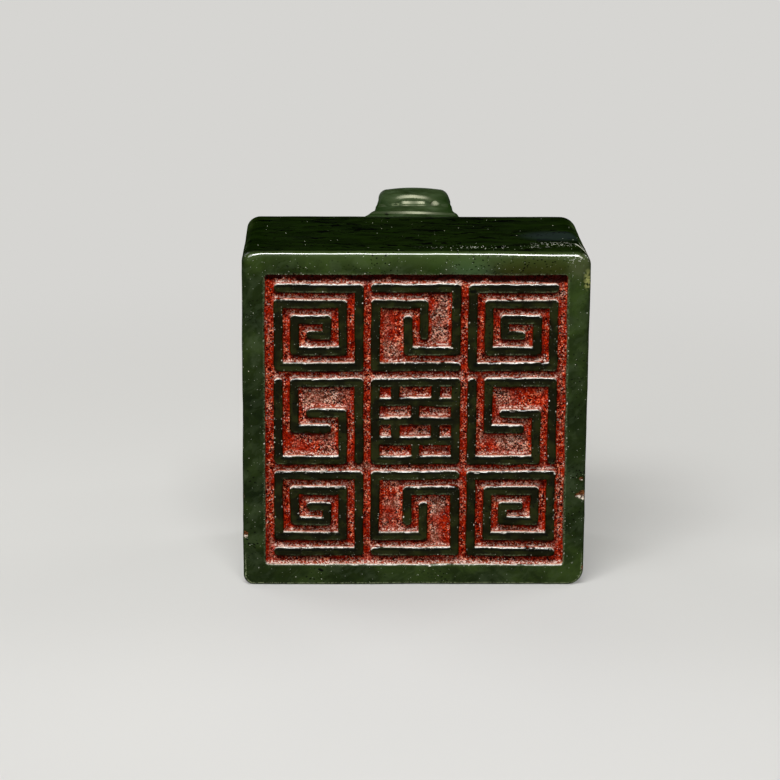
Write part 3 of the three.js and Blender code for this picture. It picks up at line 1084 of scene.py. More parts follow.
@dataclass(frozen=True)
class Grid:
    """Even grid over the printing face, a little larger than the field."""

    left: float = -44.2
    right: float = 44.2
    bottom: float = 5.6
    top: float = 93.5
    cell: float = 0.28

    def axes(self) -> tuple[Array, Array]:
        """Lines of the grid.

        Returns:
            Places of its lines across, and of its lines up.
        """
        count_x = round((self.right - self.left) / self.cell) + 1
        count_z = round((self.top - self.bottom) / self.cell) + 1
        return (np.linspace(self.left, self.right, count_x),
                np.linspace(self.bottom, self.top, count_z))

    def points(self) -> tuple[Array, Array]:
        """Places of every crossing, row by row from the bottom.

        Returns:
            Their x, and their z.
        """
        across, up = self.axes()
        z, x = np.meshgrid(up, across, indexing="ij")
        return x.ravel(), z.ravel()

    def sheet(self) -> Array:
        """Places of every crossing on one flat sheet.

        Returns:
            Two numbers from 0 to 1 for each.
        """
        x, z = self.points()
        size = max(self.right - self.left, self.top - self.bottom) * 1.01
        return np.stack([x - self.left, z - self.bottom], axis=1) / size + 0.004

    def inset(self, x: Array, z: Array) -> Array:
        """Distance inside the grid's edge, negative outside it."""
        across = np.minimum(x - self.left, self.right - x)
        return np.minimum(across, np.minimum(z - self.bottom, self.top - z))

    def hand_drift(self, x: Array, z: Array) -> tuple[Array, Array]:
        """How far a carver's hand strays from the drawn lines, none at the grid's edge.

        Args:
            x: Places across.
            z: Places up.

        Returns:
            Shifts across and up, in millimetres.
        """
        flat = np.stack([x, np.zeros_like(x), z], axis=1)
        shift_x = layered_noise(flat, 9.0, 11) * 0.26 + smooth_noise(flat, 1.7, 12) * 0.05
        shift_z = layered_noise(flat, 9.0, 21) * 0.26 + smooth_noise(flat, 1.7, 22) * 0.05
        inside = ease(self.inset(x, z), 0, 0.9)
        return shift_x * inside, shift_z * inside


@dataclass
class CarvedFace:
    """Printing face of the stone inside its border: strokes, their walls and the sunk floor."""

    fret: KeyFret = field(default_factory=KeyFret)
    grid: Grid = field(default_factory=Grid)
    depth: float = FIELD_DEPTH
    edge: float = 0.2
    foot: float = 0.44

    def build(self, jade: bpy.types.Material) -> bpy.types.Object:
        """Builds the carved surface.

        Args:
            jade: Material of the block.

        Returns:
            The piece.
        """
        x, z = self.grid.points()
        away = self.fret.clearance(x, z)
        x, z, away = self._snap(x, z, away)
        flat = np.stack([x, np.zeros_like(x), z], axis=1)
        wear = layered_noise(flat, 2.2, 31) * 0.05
        nick = ease(smooth_noise(flat, 1.1, 35), 0.62, 0.9) * ease(away, -0.7, -0.1) * 0.5
        down = np.interp(away + wear, [-self.edge - 0.1, -self.edge, 0.05, 0.12, self.foot],
                         [0, 0.015, 0.17, 0.55, self.depth])
        down = down + nick * ease(-away, -0.2, 0.1)
        shift_x, shift_z = self.grid.hand_drift(x, z)
        inside = self.fret.border(x, z)
        top_wear = (layered_noise(flat, 6.0, 41) * 0.03 + 0.03) * ease(inside, 0.0, 1.0)
        points = np.stack([x + shift_x, FACE_Y + down + top_wear, z + shift_z], axis=1)
        across, up = self.grid.axes()
        faces = grid_faces(len(up), len(across), Pattern.OPEN)
        facing_up = upward(points, len(up), len(across))
        # Upward edges of the strokes: polish for the coat, and painted highlight in the colour.
        rim = ease(away, -0.5, -0.12) * ease(-away, -0.3, 0.0) * ease(facing_up, 0.15, 0.5)
        above = np.gradient(away.reshape(len(up), len(across)), axis=0).ravel() / self.grid.cell
        # Painted shade: a dark band on each stroke just below its upper edge.
        dark = ease(above, 0.3, 0.8) * ease(away, -1.1, -0.75) * (1 - ease(away, -0.45, -0.28))
        on_stroke = ease(inside, 0.8, 1.6)
        # Painted highlight lines along the field's edge and the strokes' lower edges, and painted
        # glints along the stroke edges.
        lip = ease(-above, 0.3, 0.8) * bell(away, -0.12, 0.18)
        lip = lip * on_stroke * ease(layered_noise(flat, 5.0, 45), -0.2, 0.2)
        glint = bell(away, -0.1, 0.26) * ease(layered_noise(flat, 4.0, 46), -0.1, 0.3)
        values = {"stain": ease(inside, -0.25, 0.15), "depth": down / self.depth,
                  "facing_up": facing_up, "rim": rim, "shaded": dark * on_stroke,
                  "edge": 0.4 * np.maximum(bell(inside, 0.0, 0.2), lip), "glint": glint}
        piece = make_object("carved_face", points, faces, values, 48, self.grid.sheet())
        piece.data.materials.append(jade)
        return piece

    def _snap(self, x: Array, z: Array, away: Array) -> tuple[Array, Array, Array]:
        """Moves grid points that are close to an edge of a wall onto it.

        Args:
            x: Places across.
            z: Places up.
            away: Distance into the hollows.

        Returns:
            The new x, z and distance.
        """
        step = 0.01
        slope_x = (self.fret.clearance(x + step, z) - self.fret.clearance(x - step, z)) / (2 * step)
        slope_z = (self.fret.clearance(x, z + step) - self.fret.clearance(x, z - step)) / (2 * step)
        lines = np.array([-self.edge, 0.05, self.foot])
        nearest = lines[np.argmin(np.abs(away[:, None] - lines), axis=1)]
        shift = nearest - away
        close = np.abs(shift) < self.grid.cell * 0.45
        free = self.grid.inset(x, z) >= 0.1
        move = np.where(close & free, shift, 0) * 0.95
        return x + slope_x * move, z + slope_z * move, away + move


@dataclass
class SealPaste:
    """Dried paste on the sunk floor, piled up against the walls."""

    fret: KeyFret = field(default_factory=KeyFret)
    grid: Grid = field(default_factory=Grid)
    floor: float = FIELD_DEPTH
    thickness: float = 1.35

    def build(self, paste: bpy.types.Material) -> bpy.types.Object:
        """Builds the paste.

        Args:
            paste: Its material.

        Returns:
            The piece.
        """
        x, z = self.grid.points()
        away = self.fret.clearance(x, z)
        flat = np.stack([x, np.zeros_like(x), z], axis=1)
        broad = layered_noise(flat, 7.0, 51)
        bank = np.exp(-np.maximum(away - 0.15, 0) / 0.45) * (0.75 + broad * 0.6)
        ledge = np.exp(-np.maximum(z - self.fret.bottom - 0.3, 0) / 0.7) * 0.7
        grit = layered_noise(flat, 1.2, 61) * 0.42 + smooth_noise(flat, 0.5, 71) * 0.18
        lumps = ease(layered_noise(flat, 2.8, 81), 0.1, 0.6) * 0.55
        crumbs = ease(layered_noise(flat, 1.5, 85), -0.05, 0.35) * 0.6
        crumbs = crumbs * ease(layered_noise(flat, 12.0, 87), 0.0, 0.35)
        thick = self.thickness + broad * 0.2 + bank * 0.7 + ledge + grit + lumps + crumbs
        thick = np.clip(thick, 0.3, 3.0)
        shift_x, shift_z = self.grid.hand_drift(x, z)
        points = np.stack([x + shift_x, FACE_Y + self.floor - thick, z + shift_z], axis=1)
        across, up = self.grid.axes()
        faces = grid_faces(len(up), len(across), Pattern.OPEN)
        faces = faces[(away[faces] > -0.12).all(axis=1)]
        used, faces = np.unique(faces, return_inverse=True)
        faces = faces.reshape(-1, 4)
        pile = np.clip(bank * 0.9 + ledge + lumps, 0, 1)
        above = np.gradient(away.reshape(len(up), len(across)), axis=0).ravel() / self.grid.cell
        # Painted light on the paste just above each stroke; painted shadow just below each stroke
        # and in a band under the field's top wall.
        lit = ease(above, 0.3, 0.8) * ease(-away, -1.3, -0.3)
        shaded = ease(-above, 0.3, 0.8) * ease(-away, -1.2 - 0.5 * broad, -0.65)
        eaves = self.fret.top - 1.8 - 0.8 * ease(x, -40, 40) - 1.1 * layered_noise(flat, 4.0, 95)
        shaded = np.maximum(shaded, ease(z, eaves - 0.2, eaves + 0.3))
        values = {"pile": pile[used], "lit": lit[used], "shaded": shaded[used],
                  "open": ease(away, 0.8, 1.5)[used]}
        piece = make_object("dried_paste", points[used], faces, values, 60, self.grid.sheet()[used])
        piece.data.materials.append(paste)
        return piece


# The block


@dataclass(frozen=True)
class Chip:
    """Flake broken out of an edge: an oval scoop cut along one direction."""

    centre: Point
    reach: Point
    inward: Point

    def cut(self, points: Array) -> tuple[Array, Array]:
        """Moves the points inside the flake onto its broken surface.

        Args:
            points: Vertices in millimetres.

        Returns:
            The moved vertices, and how broken each one is from 0 to 1.
        """
        reach = np.array(self.reach)
        inward = np.array(self.inward) / np.linalg.norm(self.inward)
        rough = 1 + 0.22 * layered_noise(points, 1.3, 91)[:, None]
        start = (points - np.array(self.centre)) / (reach * rough)
        way = inward / reach
        a = way @ way
        b = start @ way
        c = (start * start).sum(axis=1) - 1
        inside = c < 0
        travel = np.where(inside, (-b + np.sqrt(np.maximum(b * b - a * c, 0))) / a, 0)
        return points + travel[:, None] * inward, np.clip(travel / 0.18, 0, 1)


CHIPS = (
    Chip((49.9, -62.0, 27.6), (2.5, 1.25, 1.7), (-0.6, 0.8, 0.0)),
    Chip((48.3, -62.0, 27.4), (1.9, 0.8, 0.8), (-0.3, 0.95, 0.0)),
    Chip((48.7, -61.9, 32.4), (0.9, 0.45, 0.55), (-0.2, 0.95, 0.1)),
    Chip((49.8, -61.6, 5.2), (0.9, 0.9, 1.3), (-0.7, 0.7, 0.0)),
    Chip((-49.6, -61.9, 15.5), (1.05, 0.8, 1.15), (0.7, 0.7, 0.0)),
    Chip((-50.1, -61.6, 27.3), (0.5, 0.5, 1.7), (0.7, 0.7, 0.0)),
    Chip((49.4, -40.5, 97.6), (0.9, 2.2, 0.9), (-0.7, 0.0, -0.7)),
    Chip((-48.9, -30.0, 99.4), (0.6, 2.4, 0.5), (0.6, 0.0, -0.8)),
    Chip((33.0, -6.8, 99.4), (1.6, 0.7, 0.5), (0.0, -0.7, -0.7)),
    Chip((-46.0, -6.9, 0.4), (2.2, 0.8, 0.8), (0.0, -0.7, 0.7)),
)


@dataclass
class SealBlock:
    """Square block of jade round the carved face, with softened rims, worn corners and chips."""

    half_width: float = 50.0
    height: float = 99.5
    corners: tuple[float, float, float, float] = (4.8, 4.0, 3.3, 3.0)
    rim: float = 1.2
    rim_steps: int = 9
    worn_rim: tuple[float, float] = (1.5, 0.9)
    rear_round: tuple[float, float] = (0.8, 1.3)
    back_rim: float = 1.0
    taper: float = 0.5
    face_steps: int = 13
    side_steps: int = 30
    back_steps: int = 7
    corner_steps: int = 14
    back_shares: tuple[float, ...] = (0.9, 0.75, 0.5, 0.25, 0.02)
    grid: Grid = field(default_factory=Grid)

    def build(self, jade: bpy.types.Material) -> bpy.types.Object:
        """Builds the block's border, sides and back.

        Args:
            jade: Its material.

        Returns:
            The piece.
        """
        profile = self._profile()
        rings = [self._ring(inset, y) for inset, y, _ in profile]
        rings[:self.rim_steps] = self._front_rim()
        inner = self._inner_ring()
        steps = self.face_steps
        face = [inner + (rings[0] - inner) * (i / steps) for i in range(steps)]
        middle = rings[-1].mean(axis=0)
        back = [middle + (rings[-1] - middle) * share for share in self.back_shares]
        points = np.concatenate(face + rings + back)
        count = len(inner)
        faces = grid_faces(len(points) // count, count, Pattern.CLOSED)
        points = self._worn(points)
        chipped = np.zeros(len(points))
        for chip in CHIPS:
            points, broken = chip.cut(points)
            chipped = np.maximum(chipped, broken)
        polish_and_highlight = [0.0] * len(face) + [rim for _, _, rim in profile] + [0.0] * len(back)
        cap = list(range(len(points) - count, len(points)))
        x, y, z = points.T
        # Polish of the front top rim, which also sets its painted highlight.
        rim = np.repeat(polish_and_highlight, count) * (1 - chipped) * ease(z, 96.4, 98.2)
        gloss = (0.08 * ease(y, -58, -40) + 0.1 * ease(y, -12, BACK_Y)) * ease(-z, -96, -92)
        gloss = gloss - 0.03 * ease(z, 94, 96.5) * ease(np.abs(x), 42, 45)
        # Painted highlight line on the front rim near the bottom.
        edge = np.zeros(len(points))
        edge[count * (len(face) + 2):count * (len(face) + 4)] = 0.6
        values = {"chip": chipped, "rim": rim, "gloss": gloss, "edge": edge * (1 - ease(z, 4, 12))}
        piece = make_object("seal_body", points, faces.tolist() + [cap], values, 35)
        piece.data.materials.append(jade)
        return piece

    def _front_rim(self) -> list[Array]:
        """Rounds the front rim, which is worn wider towards the upper corners.

        Returns:
            Its rings, from the face to the sides.
        """
        outline = self._ring(0.0, FACE_Y)
        inward = self._ring(1.0, FACE_Y) - outline
        x, _, z = outline.T
        worn = self.worn_rim[0] * ease(-x, 43, 49.5) + self.worn_rim[1] * ease(x, 12, 46)
        radius = self.rim + worn * ease(z, 90, 98)
        rings = []
        for angle in np.linspace(0, math.pi / 2, self.rim_steps):
            ring = outline + inward * (radius * (1 - math.sin(angle)))[:, None]
            ring[:, 1] = FACE_Y + radius * (1 - math.cos(angle))
            rings.append(ring)
        return rings

    def _counts(self) -> tuple[int, int]:
        """Number of steps along the bottom or top, and along a side."""
        across, up = self.grid.axes()
        return len(across) - 1, len(up) - 1

    def _inner_ring(self) -> Array:
        """Follows the edge of the carved face, from its lower right corner up and round.

        Returns:
            The ring's points.
        """
        across, up = self.grid.axes()
        corner = self.corner_steps
        ring: list[tuple[float, float]] = []
        ring += [(across[-1], z) for z in up] + [(across[-1], up[-1])] * (corner - 1)
        ring += [(x, up[-1]) for x in across[::-1]] + [(across[0], up[-1])] * (corner - 1)
        ring += [(across[0], z) for z in up[::-1]] + [(across[0], up[0])] * (corner - 1)
        ring += [(x, up[0]) for x in across] + [(across[-1], up[0])] * (corner - 1)
        return np.array([(x, FACE_Y, z) for x, z in ring])

    def _profile(self) -> list[tuple[float, float, float]]:
        """Section of the block's side, from the face round to the back.

        Returns:
            Inset, y and share of the rim's polish and painted highlight of each ring.
        """
        spots = []
        for angle in np.linspace(0, math.pi / 2, self.rim_steps):
            polish = math.exp(-(((math.degrees(angle) - 33) / 24) ** 2))
            inset = self.rim * (1 - math.sin(angle))
            spots.append((inset, FACE_Y + self.rim * (1 - math.cos(angle)), polish))
        near = FACE_Y + self.rim + max(self.worn_rim)
        far = BACK_Y - self.back_rim
        for share in np.linspace(0, 1, self.side_steps)[:-1]:
            spots.append((0.0, near + (far - near) * share**1.55, 0.0))
        for angle in np.linspace(0, math.pi / 2, self.back_steps):
            inset = self.back_rim * (1 - math.cos(angle))
            spots.append((inset, far + self.back_rim * math.sin(angle), 0.0))
        return spots

    def _ring(self, inset: float, y: float) -> Array:
        """Rounded outline at one depth, matched point by point with the carved face's edge.

        Args:
            inset: How far it lies inside the block's sides.
            y: Its depth.

        Returns:
            Its points.
        """
        steps_x, steps_z = self._counts()
        right, top = self.half_width - inset, self.height - inset
        left, bottom = -right, inset
        radii = [max(radius - inset, 0.3) for radius in self.corners]
        low_right, high_right, high_left, low_left = radii
        rearward = min(max((y - FACE_Y - 3) / 30, 0), 1)
        high_left += self.rear_round[0] * rearward
        high_right += self.rear_round[1] * rearward
        ring: list[tuple[float, float]] = []

        def side(start: tuple[float, float], end: tuple[float, float], steps: int) -> None:
            """Adds a straight side."""
            ring.extend((start[0] + (end[0] - start[0]) * i / steps,
                         start[1] + (end[1] - start[1]) * i / steps) for i in range(steps + 1))

        def turn(x: float, z: float, radius: float, start: float) -> None:
            """Adds the points inside a rounded corner.

            Args:
                x: Its centre across.
                z: Its centre up.
                radius: Its radius.
                start: Angle that it starts at.
            """
            for i in range(1, self.corner_steps):
                angle = start + math.pi / 2 * i / self.corner_steps
                ring.append((x + radius * math.cos(angle), z + radius * math.sin(angle)))

        side((right, bottom + low_right), (right, top - high_right), steps_z)
        turn(right - high_right, top - high_right, high_right, 0)
        side((right - high_right, top), (left + high_left, top), steps_x)
        turn(left + high_left, top - high_left, high_left, math.pi / 2)
        side((left, top - high_left), (left, bottom + low_left), steps_z)
        turn(left + low_left, bottom + low_left, low_left, math.pi)
        side((left + low_left, bottom), (right - low_right, bottom), steps_x)
        turn(right - low_right, bottom + low_right, low_right, math.pi * 1.5)
        return np.array([(x, y, z) for x, z in ring])

    def _worn(self, points: Array) -> Array:
        """Takes the machine-made evenness off the block.

        Args:
            points: Vertices of the even block.

        Returns:
            The worn vertices.
        """
        x, y, z = points.T
        outside = ease(-self.grid.inset(x, z), 0.4, 1.4)
        rim = np.maximum(outside, ease(y, FACE_Y + 0.1, FACE_Y + 1.0))
        drift = np.stack([layered_noise(points, 17.0, seed) for seed in (101, 102, 103)], axis=1)
        fine = np.stack([smooth_noise(points, 3.0, seed) for seed in (111, 112, 113)], axis=1)
        worn = points + (drift * 0.14 + fine * 0.025) * rim[:, None]
        worn[:, 0] -= self.taper * ease(x, 40, 50) * np.clip(1 - z / self.height, 0, 1)
        worn[:, 2] = np.maximum(worn[:, 2], 0.0)
        return worn


# The handle


@dataclass
class BridgeHandle:
    """Arched strap over the block's back, with flared feet and a carved boss on each leg."""

    offset: float = 1.3
    middle: float = 49.75
    rise: float = 68.5
    inset: float = 0.4
    lean: float = math.radians(1.5)
    strap_width: float = 22.4
    thickness: float = 13.0
    shoulder: float = 10.0
    bow: float = math.radians(10)
    waist: float = 23.8
    foot_width: float = 33.6
    foot_thickness: float = 17.0
    foot_length: float = 23.0
    crowns: tuple[float, float] = (0.2, 0.8)
    edges: tuple[float, float] = (1.4, 4.0)
    left_edge: Curve = (
        (0, 8, 12, 16, 20, 30, 46, 68), (-4.8, -4.8, -3.9, -2.4, -0.9, 0.0, 0.6, 0.5))
    right_edge: Curve = (
        (0, 9, 13, 17, 21, 32, 40, 68), (0.8, 0.8, 0.8, 0.7, 0.2, -0.35, 0.1, 0.0))
    collar: Curve = (
        (0, 9, 15.9, 17.9, 18.6, 19.4, 20.2, 24.5, 27.0, 50.0),
        (-1.6, -1.4, -1.02, -0.62, -0.58, -1.0, -0.66, -0.6, 0.0, 0.0))
    boss_height: Curve = ((25.2, 25.9, 29.3, 29.9, 31.5), (0.0, 0.04, 0.7, 0.7, 0.0))
    boss: tuple[float, float] = (-0.2, 28.2)
    bead: tuple[float, float] = (6.6, 28.4)
    ring_highlight_at: tuple[float, float] = (-5.8, 28.0)
    around: int = 164
    per_edge: int = 14
    leg_steps: int = 150
    shoulder_steps: int = 26
    top_steps: int = 34

    def build(self, jade: bpy.types.Material) -> bpy.types.Object:
        """Lofts the handle.

        Args:
            jade: Its material.

        Returns:
            The piece.
        """
        upper = self._line()
        stations = [(*spot, 1) for spot in upper] + [(*spot, -1) for spot in upper[-2::-1]]
        rings, polish_and_highlight, shadow, scored = [], [], [], []
        for rise, height, direction, mirror in stations:
            across, outwards = self._section(rise)
            outer = ease(outwards, 3.0, 6.0)
            polish_and_highlight.append(self._polish_and_highlight(rise, across) * outer)
            shadow.append(self._painted_boss_shade(rise, across) * outer)
            scored.append(self._painted_ring_highlight(rise, across) * outer)
            outwards = outwards + self._carving(rise, across) * ease(outwards, 0, 5.5)
            x = self.offset + across + np.interp(rise, *self.left_edge) * ease(-across, 0, 12)
            x = x + np.interp(rise, *self.right_edge) * ease(across, 0, 11)
            z = self.middle + mirror * (height + outwards * math.cos(direction))
            y = BACK_Y + rise - outwards * math.sin(direction)
            rings.append(np.stack([x, y, z], axis=1))
        points = np.concatenate(rings)
        drift = np.stack([layered_noise(points, 12.0, seed) for seed in (121, 122, 123)], axis=1)
        points += drift * 0.12 * ease(points[:, 1:2], BACK_Y + 0.5, BACK_Y + 4)
        faces = grid_faces(len(rings), self.around, Pattern.CLOSED)[:, ::-1].tolist()
        last = len(points) - self.around
        caps = [list(range(self.around)), list(range(len(points) - 1, last - 1, -1))]
        # The rim values hold polish and painted highlight, shaded holds painted shade round the
        # boss, and edge a painted highlight ring.
        values = {"rim": np.concatenate(polish_and_highlight), "gloss": 0.25 * ease(points[:, 1], 36, 48),
                  "shaded": np.concatenate(shadow), "edge": np.concatenate(scored)}
        piece = make_object("carved_handle", points, faces + caps, values, 45)
        piece.data.materials.append(jade)
        return piece

    def _line(self) -> list[tuple[float, float, float]]:
        """Middle line of half the arch, from the block to the arch's middle.

        Returns:
            Rise off the block, height over the block's middle and direction of each station.
        """
        half = self.thickness / 2
        shoulder_height = self.middle - self.inset - half
        turned = self.bow - math.pi / 2
        shoulder_rise = self.shoulder * (math.sin(self.lean) - math.sin(turned))
        shoulder_drop = self.shoulder * (math.cos(self.lean) - math.cos(turned))
        top_radius = (shoulder_height - shoulder_drop) / math.cos(turned)
        leg = self.rise - half - shoulder_rise - top_radius * (1 + math.sin(turned))
        line = []
        for rise in np.linspace(-0.6, leg, self.leg_steps)[:-1]:
            height = shoulder_height - (leg - rise) * math.tan(self.lean)
            line.append((rise, height, self.lean * max(rise, 0.0) / leg))
        start_rise, start_height = leg, shoulder_height
        arcs = [(self.shoulder, self.lean, turned, self.shoulder_steps, 0),
                (top_radius, turned, -math.pi / 2, self.top_steps, 1)]
        for radius, start, end, steps, first in arcs:
            for direction in np.linspace(start, end, steps + 1)[first:]:
                rise = start_rise + radius * (math.sin(start) - math.sin(direction))
                height = start_height - radius * (math.cos(start) - math.cos(direction))
                line.append((rise, height, direction))
            start_rise, start_height = rise, height
        return line

    def _section(self, rise: float) -> tuple[Array, Array]:
        """Cross-section of the strap.

        Args:
            rise: Distance off the block.

        Returns:
            Places across and outwards of its points, from the right edge over the outer side.
        """
        spread = 1 - min(max(rise / self.foot_length, 0), 1)
        taper = min(max((rise - self.foot_length) / (self.rise - self.foot_length), 0), 1)
        if spread > 0:
            width = self.waist + (self.foot_width - self.waist) * spread**1.5
        else:
            width = self.waist + (self.strap_width - self.waist) * taper
        grow = (self.foot_thickness - self.thickness) * spread**2
        crown = self.crowns[0] + (self.crowns[1] - self.crowns[0]) * taper
        edge = self.edges[0] + (self.edges[1] - self.edges[0]) * taper
        outer, inner = self.thickness / 2, -self.thickness / 2 - grow
        side = width / 2 - edge
        flat = self.around // 2 - 2 * self.per_edge
        across: list[float] = []
        outwards: list[float] = []

        def turn(x: float, out: float, start: float) -> None:
            """Adds one rounded edge.

            Args:
                x: Its centre across.
                out: Its centre outwards.
                start: Angle that it starts at.
            """
            for angle in np.linspace(start, start + math.pi / 2, self.per_edge):
                across.append(x + edge * math.cos(angle))
                outwards.append(out + edge * math.sin(angle))

        turn(side, outer - crown - edge, 0)
        for i in range(1, flat + 1):
            spot = side - 2 * side * i / (flat + 1)
            across.append(spot)
            outwards.append(outer - crown * (spot / side) ** 2)
        turn(-side, outer - crown - edge, math.pi / 2)
        turn(-side, inner + edge, math.pi)
        for i in range(1, flat + 1):
            across.append(-side + 2 * side * i / (flat + 1))
            outwards.append(inner)
        turn(side, inner + edge, math.pi * 1.5)
        return np.array(across), np.array(outwards)

    def _carving(self, rise: float, across: Array) -> Array:
        """Low relief on the outer side: a roll over the foot, then a round boss in a hollow.

        Args:
            rise: Distance off the block.
            across: Places across the strap.

        Returns:
            How far the surface stands out at each place.
        """
        collar = np.interp(self._tilted(rise, across), *self.collar)
        dish = 0.68 * ease(self._away(rise, across), 7.2, 12.6) - 0.6
        boss = np.interp(rise, *self.boss_height)
        boss = boss * (1 - ease(np.abs(across - self.boss[0]), 3.7, 4.6))
        away = np.hypot((across - self.bead[0]) / 1.9, (rise - self.bead[1]) / 3.4)
        bead = 1 - ease(away, 0.6, 1.1)
        relief = (collar + dish * ease(rise, 24.0, 27.0) + boss) * (1 - bead)
        relief = relief + (0.18 * (rise - 28.0) - 0.2) * bead
        return relief * (1 - ease(rise, 46, 54))

    def _tilted(self, rise: float, across: Array) -> Array:
        """Distance off the block, counted along the foot's roll, which slopes to the right."""
        return rise + 0.14 * np.maximum(across + 1, -1) * (1 - ease(rise, 21, 26))

    def _away(self, rise: float, across: Array) -> Array:
        """Distance from the middle of the hollow round the boss."""
        slope = 0.18 * np.maximum(across, 0)
        return np.hypot((across + 0.3) / 0.83, rise - self.boss[1] + slope)

    def _painted_boss_shade(self, rise: float, across: Array) -> Array:
        """Painted shade in the hollow round the boss.

        Args:
            rise: Distance off the block.
            across: Places across the strap.

        Returns:
            How dark it is, from 0 to 1.
        """
        beside = np.maximum(np.abs(across - self.boss[0]) - 3.0, 0)
        away = np.hypot(beside, (rise - self.boss[1]) / 1.6)
        return 0.45 * bell(away, 2.6, 0.7) * (0.5 + 0.5 * ease(rise, 24, 28))

    def _painted_ring_highlight(self, rise: float, across: Array) -> Array:
        """Small ring of painted highlight left of the boss."""
        away = np.hypot((across - self.ring_highlight_at[0]) / 1.1, (rise - self.ring_highlight_at[1]) / 2.0)
        return bell(away, 0.8, 0.25)

    def _polish_and_highlight(self, rise: float, across: Array) -> Array:
        """How well each part of the relief is polished, which also sets its painted highlight.

        Args:
            rise: Distance off the block.
            across: Places across the strap.

        Returns:
            A share from 0 to 1 for each place.
        """
        band = bell(self._tilted(rise, across), 16.9, 1.1, 4)
        side = 0.14 * ease(across, -7.6, -6.2) * (1 - ease(across, -4, 1))
        foot = band * (0.03 + 0.75 * np.maximum(bell(across, 0.3, 3.9), side))
        crescent = 0.85 * bell(self._away(rise, across), 9.7, 2.2) * ease(rise, 28, 31)
        crescent = crescent * np.exp(-((np.abs(across + 0.4) / 5.0) ** 1.8))
        lobes = bell(across, -2.6, 1.5) + bell(across, 2.1, 1.4)
        boss = ease(rise, 25.7, 26.5) * (1 - ease(rise, 29.2, 29.9)) * (0.14 + 0.74 * lobes)
        boss = boss * (1 - ease(np.abs(across - self.boss[0]), 3.0, 4.1))
        away = np.hypot((across - self.bead[0]) / 1.1, (rise - self.boss[1]) / 2.1)
        bead = 0.6 * np.exp(-(away**2.6))
        sheen = 0.1 * bell(rise, 31.0, 9.5, 4) * bell(across, -1.0, 8.6, 4)
        return np.maximum.reduce([foot, crescent, boss, bead, sheen])


# Studio


@dataclass(frozen=True)
class SoftBox:
    """Rectangular studio lamp that faces the seal."""

    name: str
    around: float
    above: float
    distance: float
    size: tuple[float, float]
    radiance: float
    colour: Point = (1.0, 1.0, 1.0)
    target: Point = (0.0, -0.03, 0.05)

    def build(self) -> bpy.types.Object:
        """Places the lamp.

        Returns:
            The lamp.
        """
        lamp = bpy.data.lights.new(self.name, "AREA")
        lamp.shape = "RECTANGLE"
        lamp.color = self.colour
        lamp.size, lamp.size_y = self.size
        lamp.energy = self.radiance * math.pi * self.size[0] * self.size[1]
        around, above = math.radians(self.around), math.radians(self.above)
        way = Vector((math.sin(around) * math.cos(above), -math.cos(around) * math.cos(above),
                      math.sin(above)))
        lamp_object = bpy.data.objects.new(self.name, lamp)
        lamp_object.location = Vector(self.target) + way * self.distance
        lamp_object.rotation_euler = (-way).to_track_quat("-Z", "Y").to_euler()
        bpy.context.scene.collection.objects.link(lamp_object)
        return lamp_object


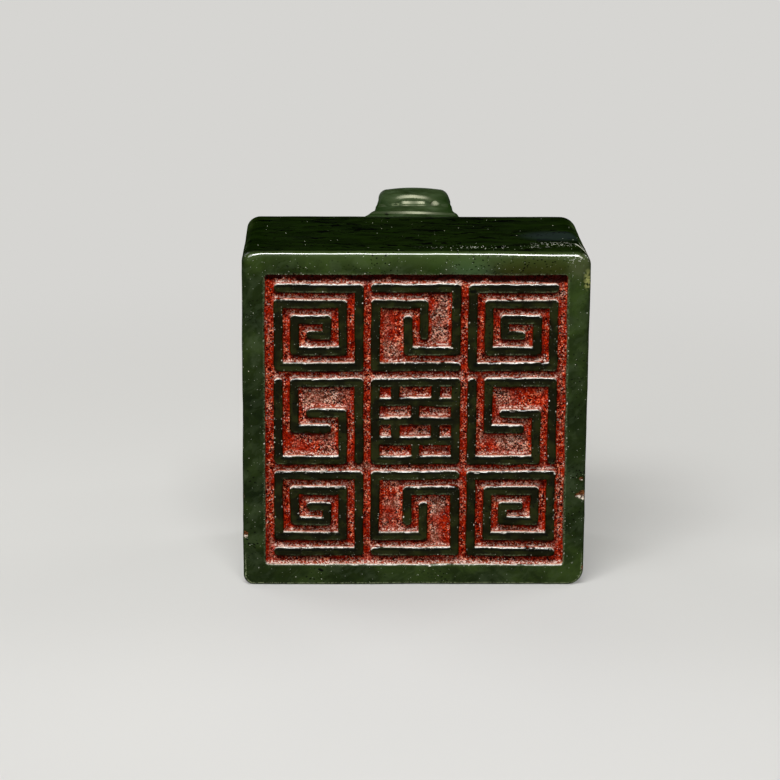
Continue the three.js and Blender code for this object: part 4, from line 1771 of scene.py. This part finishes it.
@dataclass
class Studio:
    """Pale floor, dim room, soft lamps and the camera."""

    boxes: tuple[SoftBox, ...] = (
        SoftBox("key_softbox", -10, 52, 1.25, (0.78, 0.36), 15.5),
        SoftBox("rear_softbox", 184, 36, 1.3, (0.4, 0.26), 3.4, (1.0, 0.99, 0.72)),
        SoftBox("fill_softbox", -46, 40, 2.2, (0.9, 0.9), 3.0),
        SoftBox("side_softbox", 118, 32, 2.4, (1.2, 1.2), 2.6),
        SoftBox("rear_side_softbox", -128, 34, 2.4, (1.2, 1.2), 2.6),
    )
    floor_half: float = 4.0
    horizon: tuple[float, float] = (0.09, 0.14)
    room: Shade = (40, 40, 40)
    sensor: float = 36.0
    focal_pixels: float = 3000.0
    picture: int = 780
    camera_at: Point = (-22.0058, -900.9569, 269.1912)
    yaw: float = 0.01740331
    pitch: float = 0.24544569
    roll: float = 0.00543064

    def build(self) -> None:
        """Builds the floor, the room's light, the lamps and the camera."""
        half = self.floor_half
        corners = [(-half, -half, 0), (half, -half, 0), (half, half, 0), (-half, half, 0)]
        mesh = bpy.data.meshes.new("studio_floor")
        mesh.from_pydata(corners, [], [(0, 1, 2, 3)])
        floor = bpy.data.objects.new("studio_floor", mesh)
        bpy.context.scene.collection.objects.link(floor)
        mesh.materials.append(StudioFinish().material())
        self._room()
        for box in self.boxes:
            box.build()
        self._camera()

    def _room(self) -> None:
        """Room light: pale near the floor's far edge and dim above it."""
        world = bpy.data.worlds.new("studio_room")
        bpy.context.scene.world = world
        world.use_nodes = True
        graph = Graph(world.node_tree)
        way = graph.add("ShaderNodeTexCoord", output="Generated")
        steps = graph.add("ShaderNodeSeparateXYZ", {}, {0: way}, "Z")
        shade = graph.blend(steps.rise(*self.horizon), StudioFinish.backdrop, self.room)
        shader = graph.add("ShaderNodeBackground", {}, {"Color": shade, "Strength": 1.0})
        graph.add("ShaderNodeOutputWorld", {}, {"Surface": shader})

    def _camera(self) -> None:
        """Camera at the photograph's place and angle."""
        data = bpy.data.cameras.new("photo_camera")
        data.sensor_width = self.sensor
        data.lens = self.sensor * self.focal_pixels / self.picture
        data.clip_end = 50.0
        camera = bpy.data.objects.new("photo_camera", data)
        bpy.context.scene.collection.objects.link(camera)
        ahead = Vector((math.sin(self.yaw) * math.cos(self.pitch),
                        math.cos(self.yaw) * math.cos(self.pitch), -math.sin(self.pitch)))
        level = Vector((math.cos(self.yaw), -math.sin(self.yaw), 0))
        above = level.cross(ahead)
        right = math.cos(self.roll) * level + math.sin(self.roll) * above
        up = -math.sin(self.roll) * level + math.cos(self.roll) * above
        turn = Matrix((right, up, -ahead)).transposed().to_4x4()
        camera.matrix_world = Matrix.Translation(Vector(self.camera_at) * MM) @ turn
        bpy.context.scene.camera = camera


def main() -> None:
    """Builds the seal on its frame, and the studio round it."""
    logging.basicConfig(level=logging.INFO, format="%(name)s: %(message)s")
    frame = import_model()
    paste_nodes = [name for name in frame["nodes"] if name not in ("seal_block", "bridge_handle")]
    bpy.context.scene.view_settings.view_transform = "Standard"

    # The last colour of each stone is its painted highlight on polished rims and relief.
    dark = BlockJade("dark_block_jade", (14, 25, 5), (28, 40, 12), (48, 64, 25), (60, 72, 48),
                     (96, 116, 66), gloss=0.03, painted_highlight_share=0.3)
    pale = HandleJade("pale_handle_jade", (34, 48, 22), (50, 65, 36), (70, 86, 56), (76, 92, 66),
                      (126, 140, 92), roughness=0.1, fleck_share=0.0, dust_share=0.1, gloss=0.02,
                      painted_highlight_share=0.2, coat_ior=1.7, coat_roughness=0.14)
    dark_jade = dark.material()
    plan = [
        (SealBlock().build(dark_jade), ["seal_block"], "dark_jade"),
        (CarvedFace().build(dark_jade), ["seal_block"], "dark_jade"),
        (SealPaste().build(PasteFinish().material()), paste_nodes, "red_paste"),
        (BridgeHandle().build(pale.material()), ["bridge_handle"], "pale_jade"),
    ]
    for piece, nodes, slot in plan:
        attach(piece, "root")
        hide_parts(*nodes)
        log.info("%s: %d faces, for %s", piece.name, len(piece.data.polygons), ", ".join(nodes))
    Studio().build()


if __name__ == "__main__":
    main()
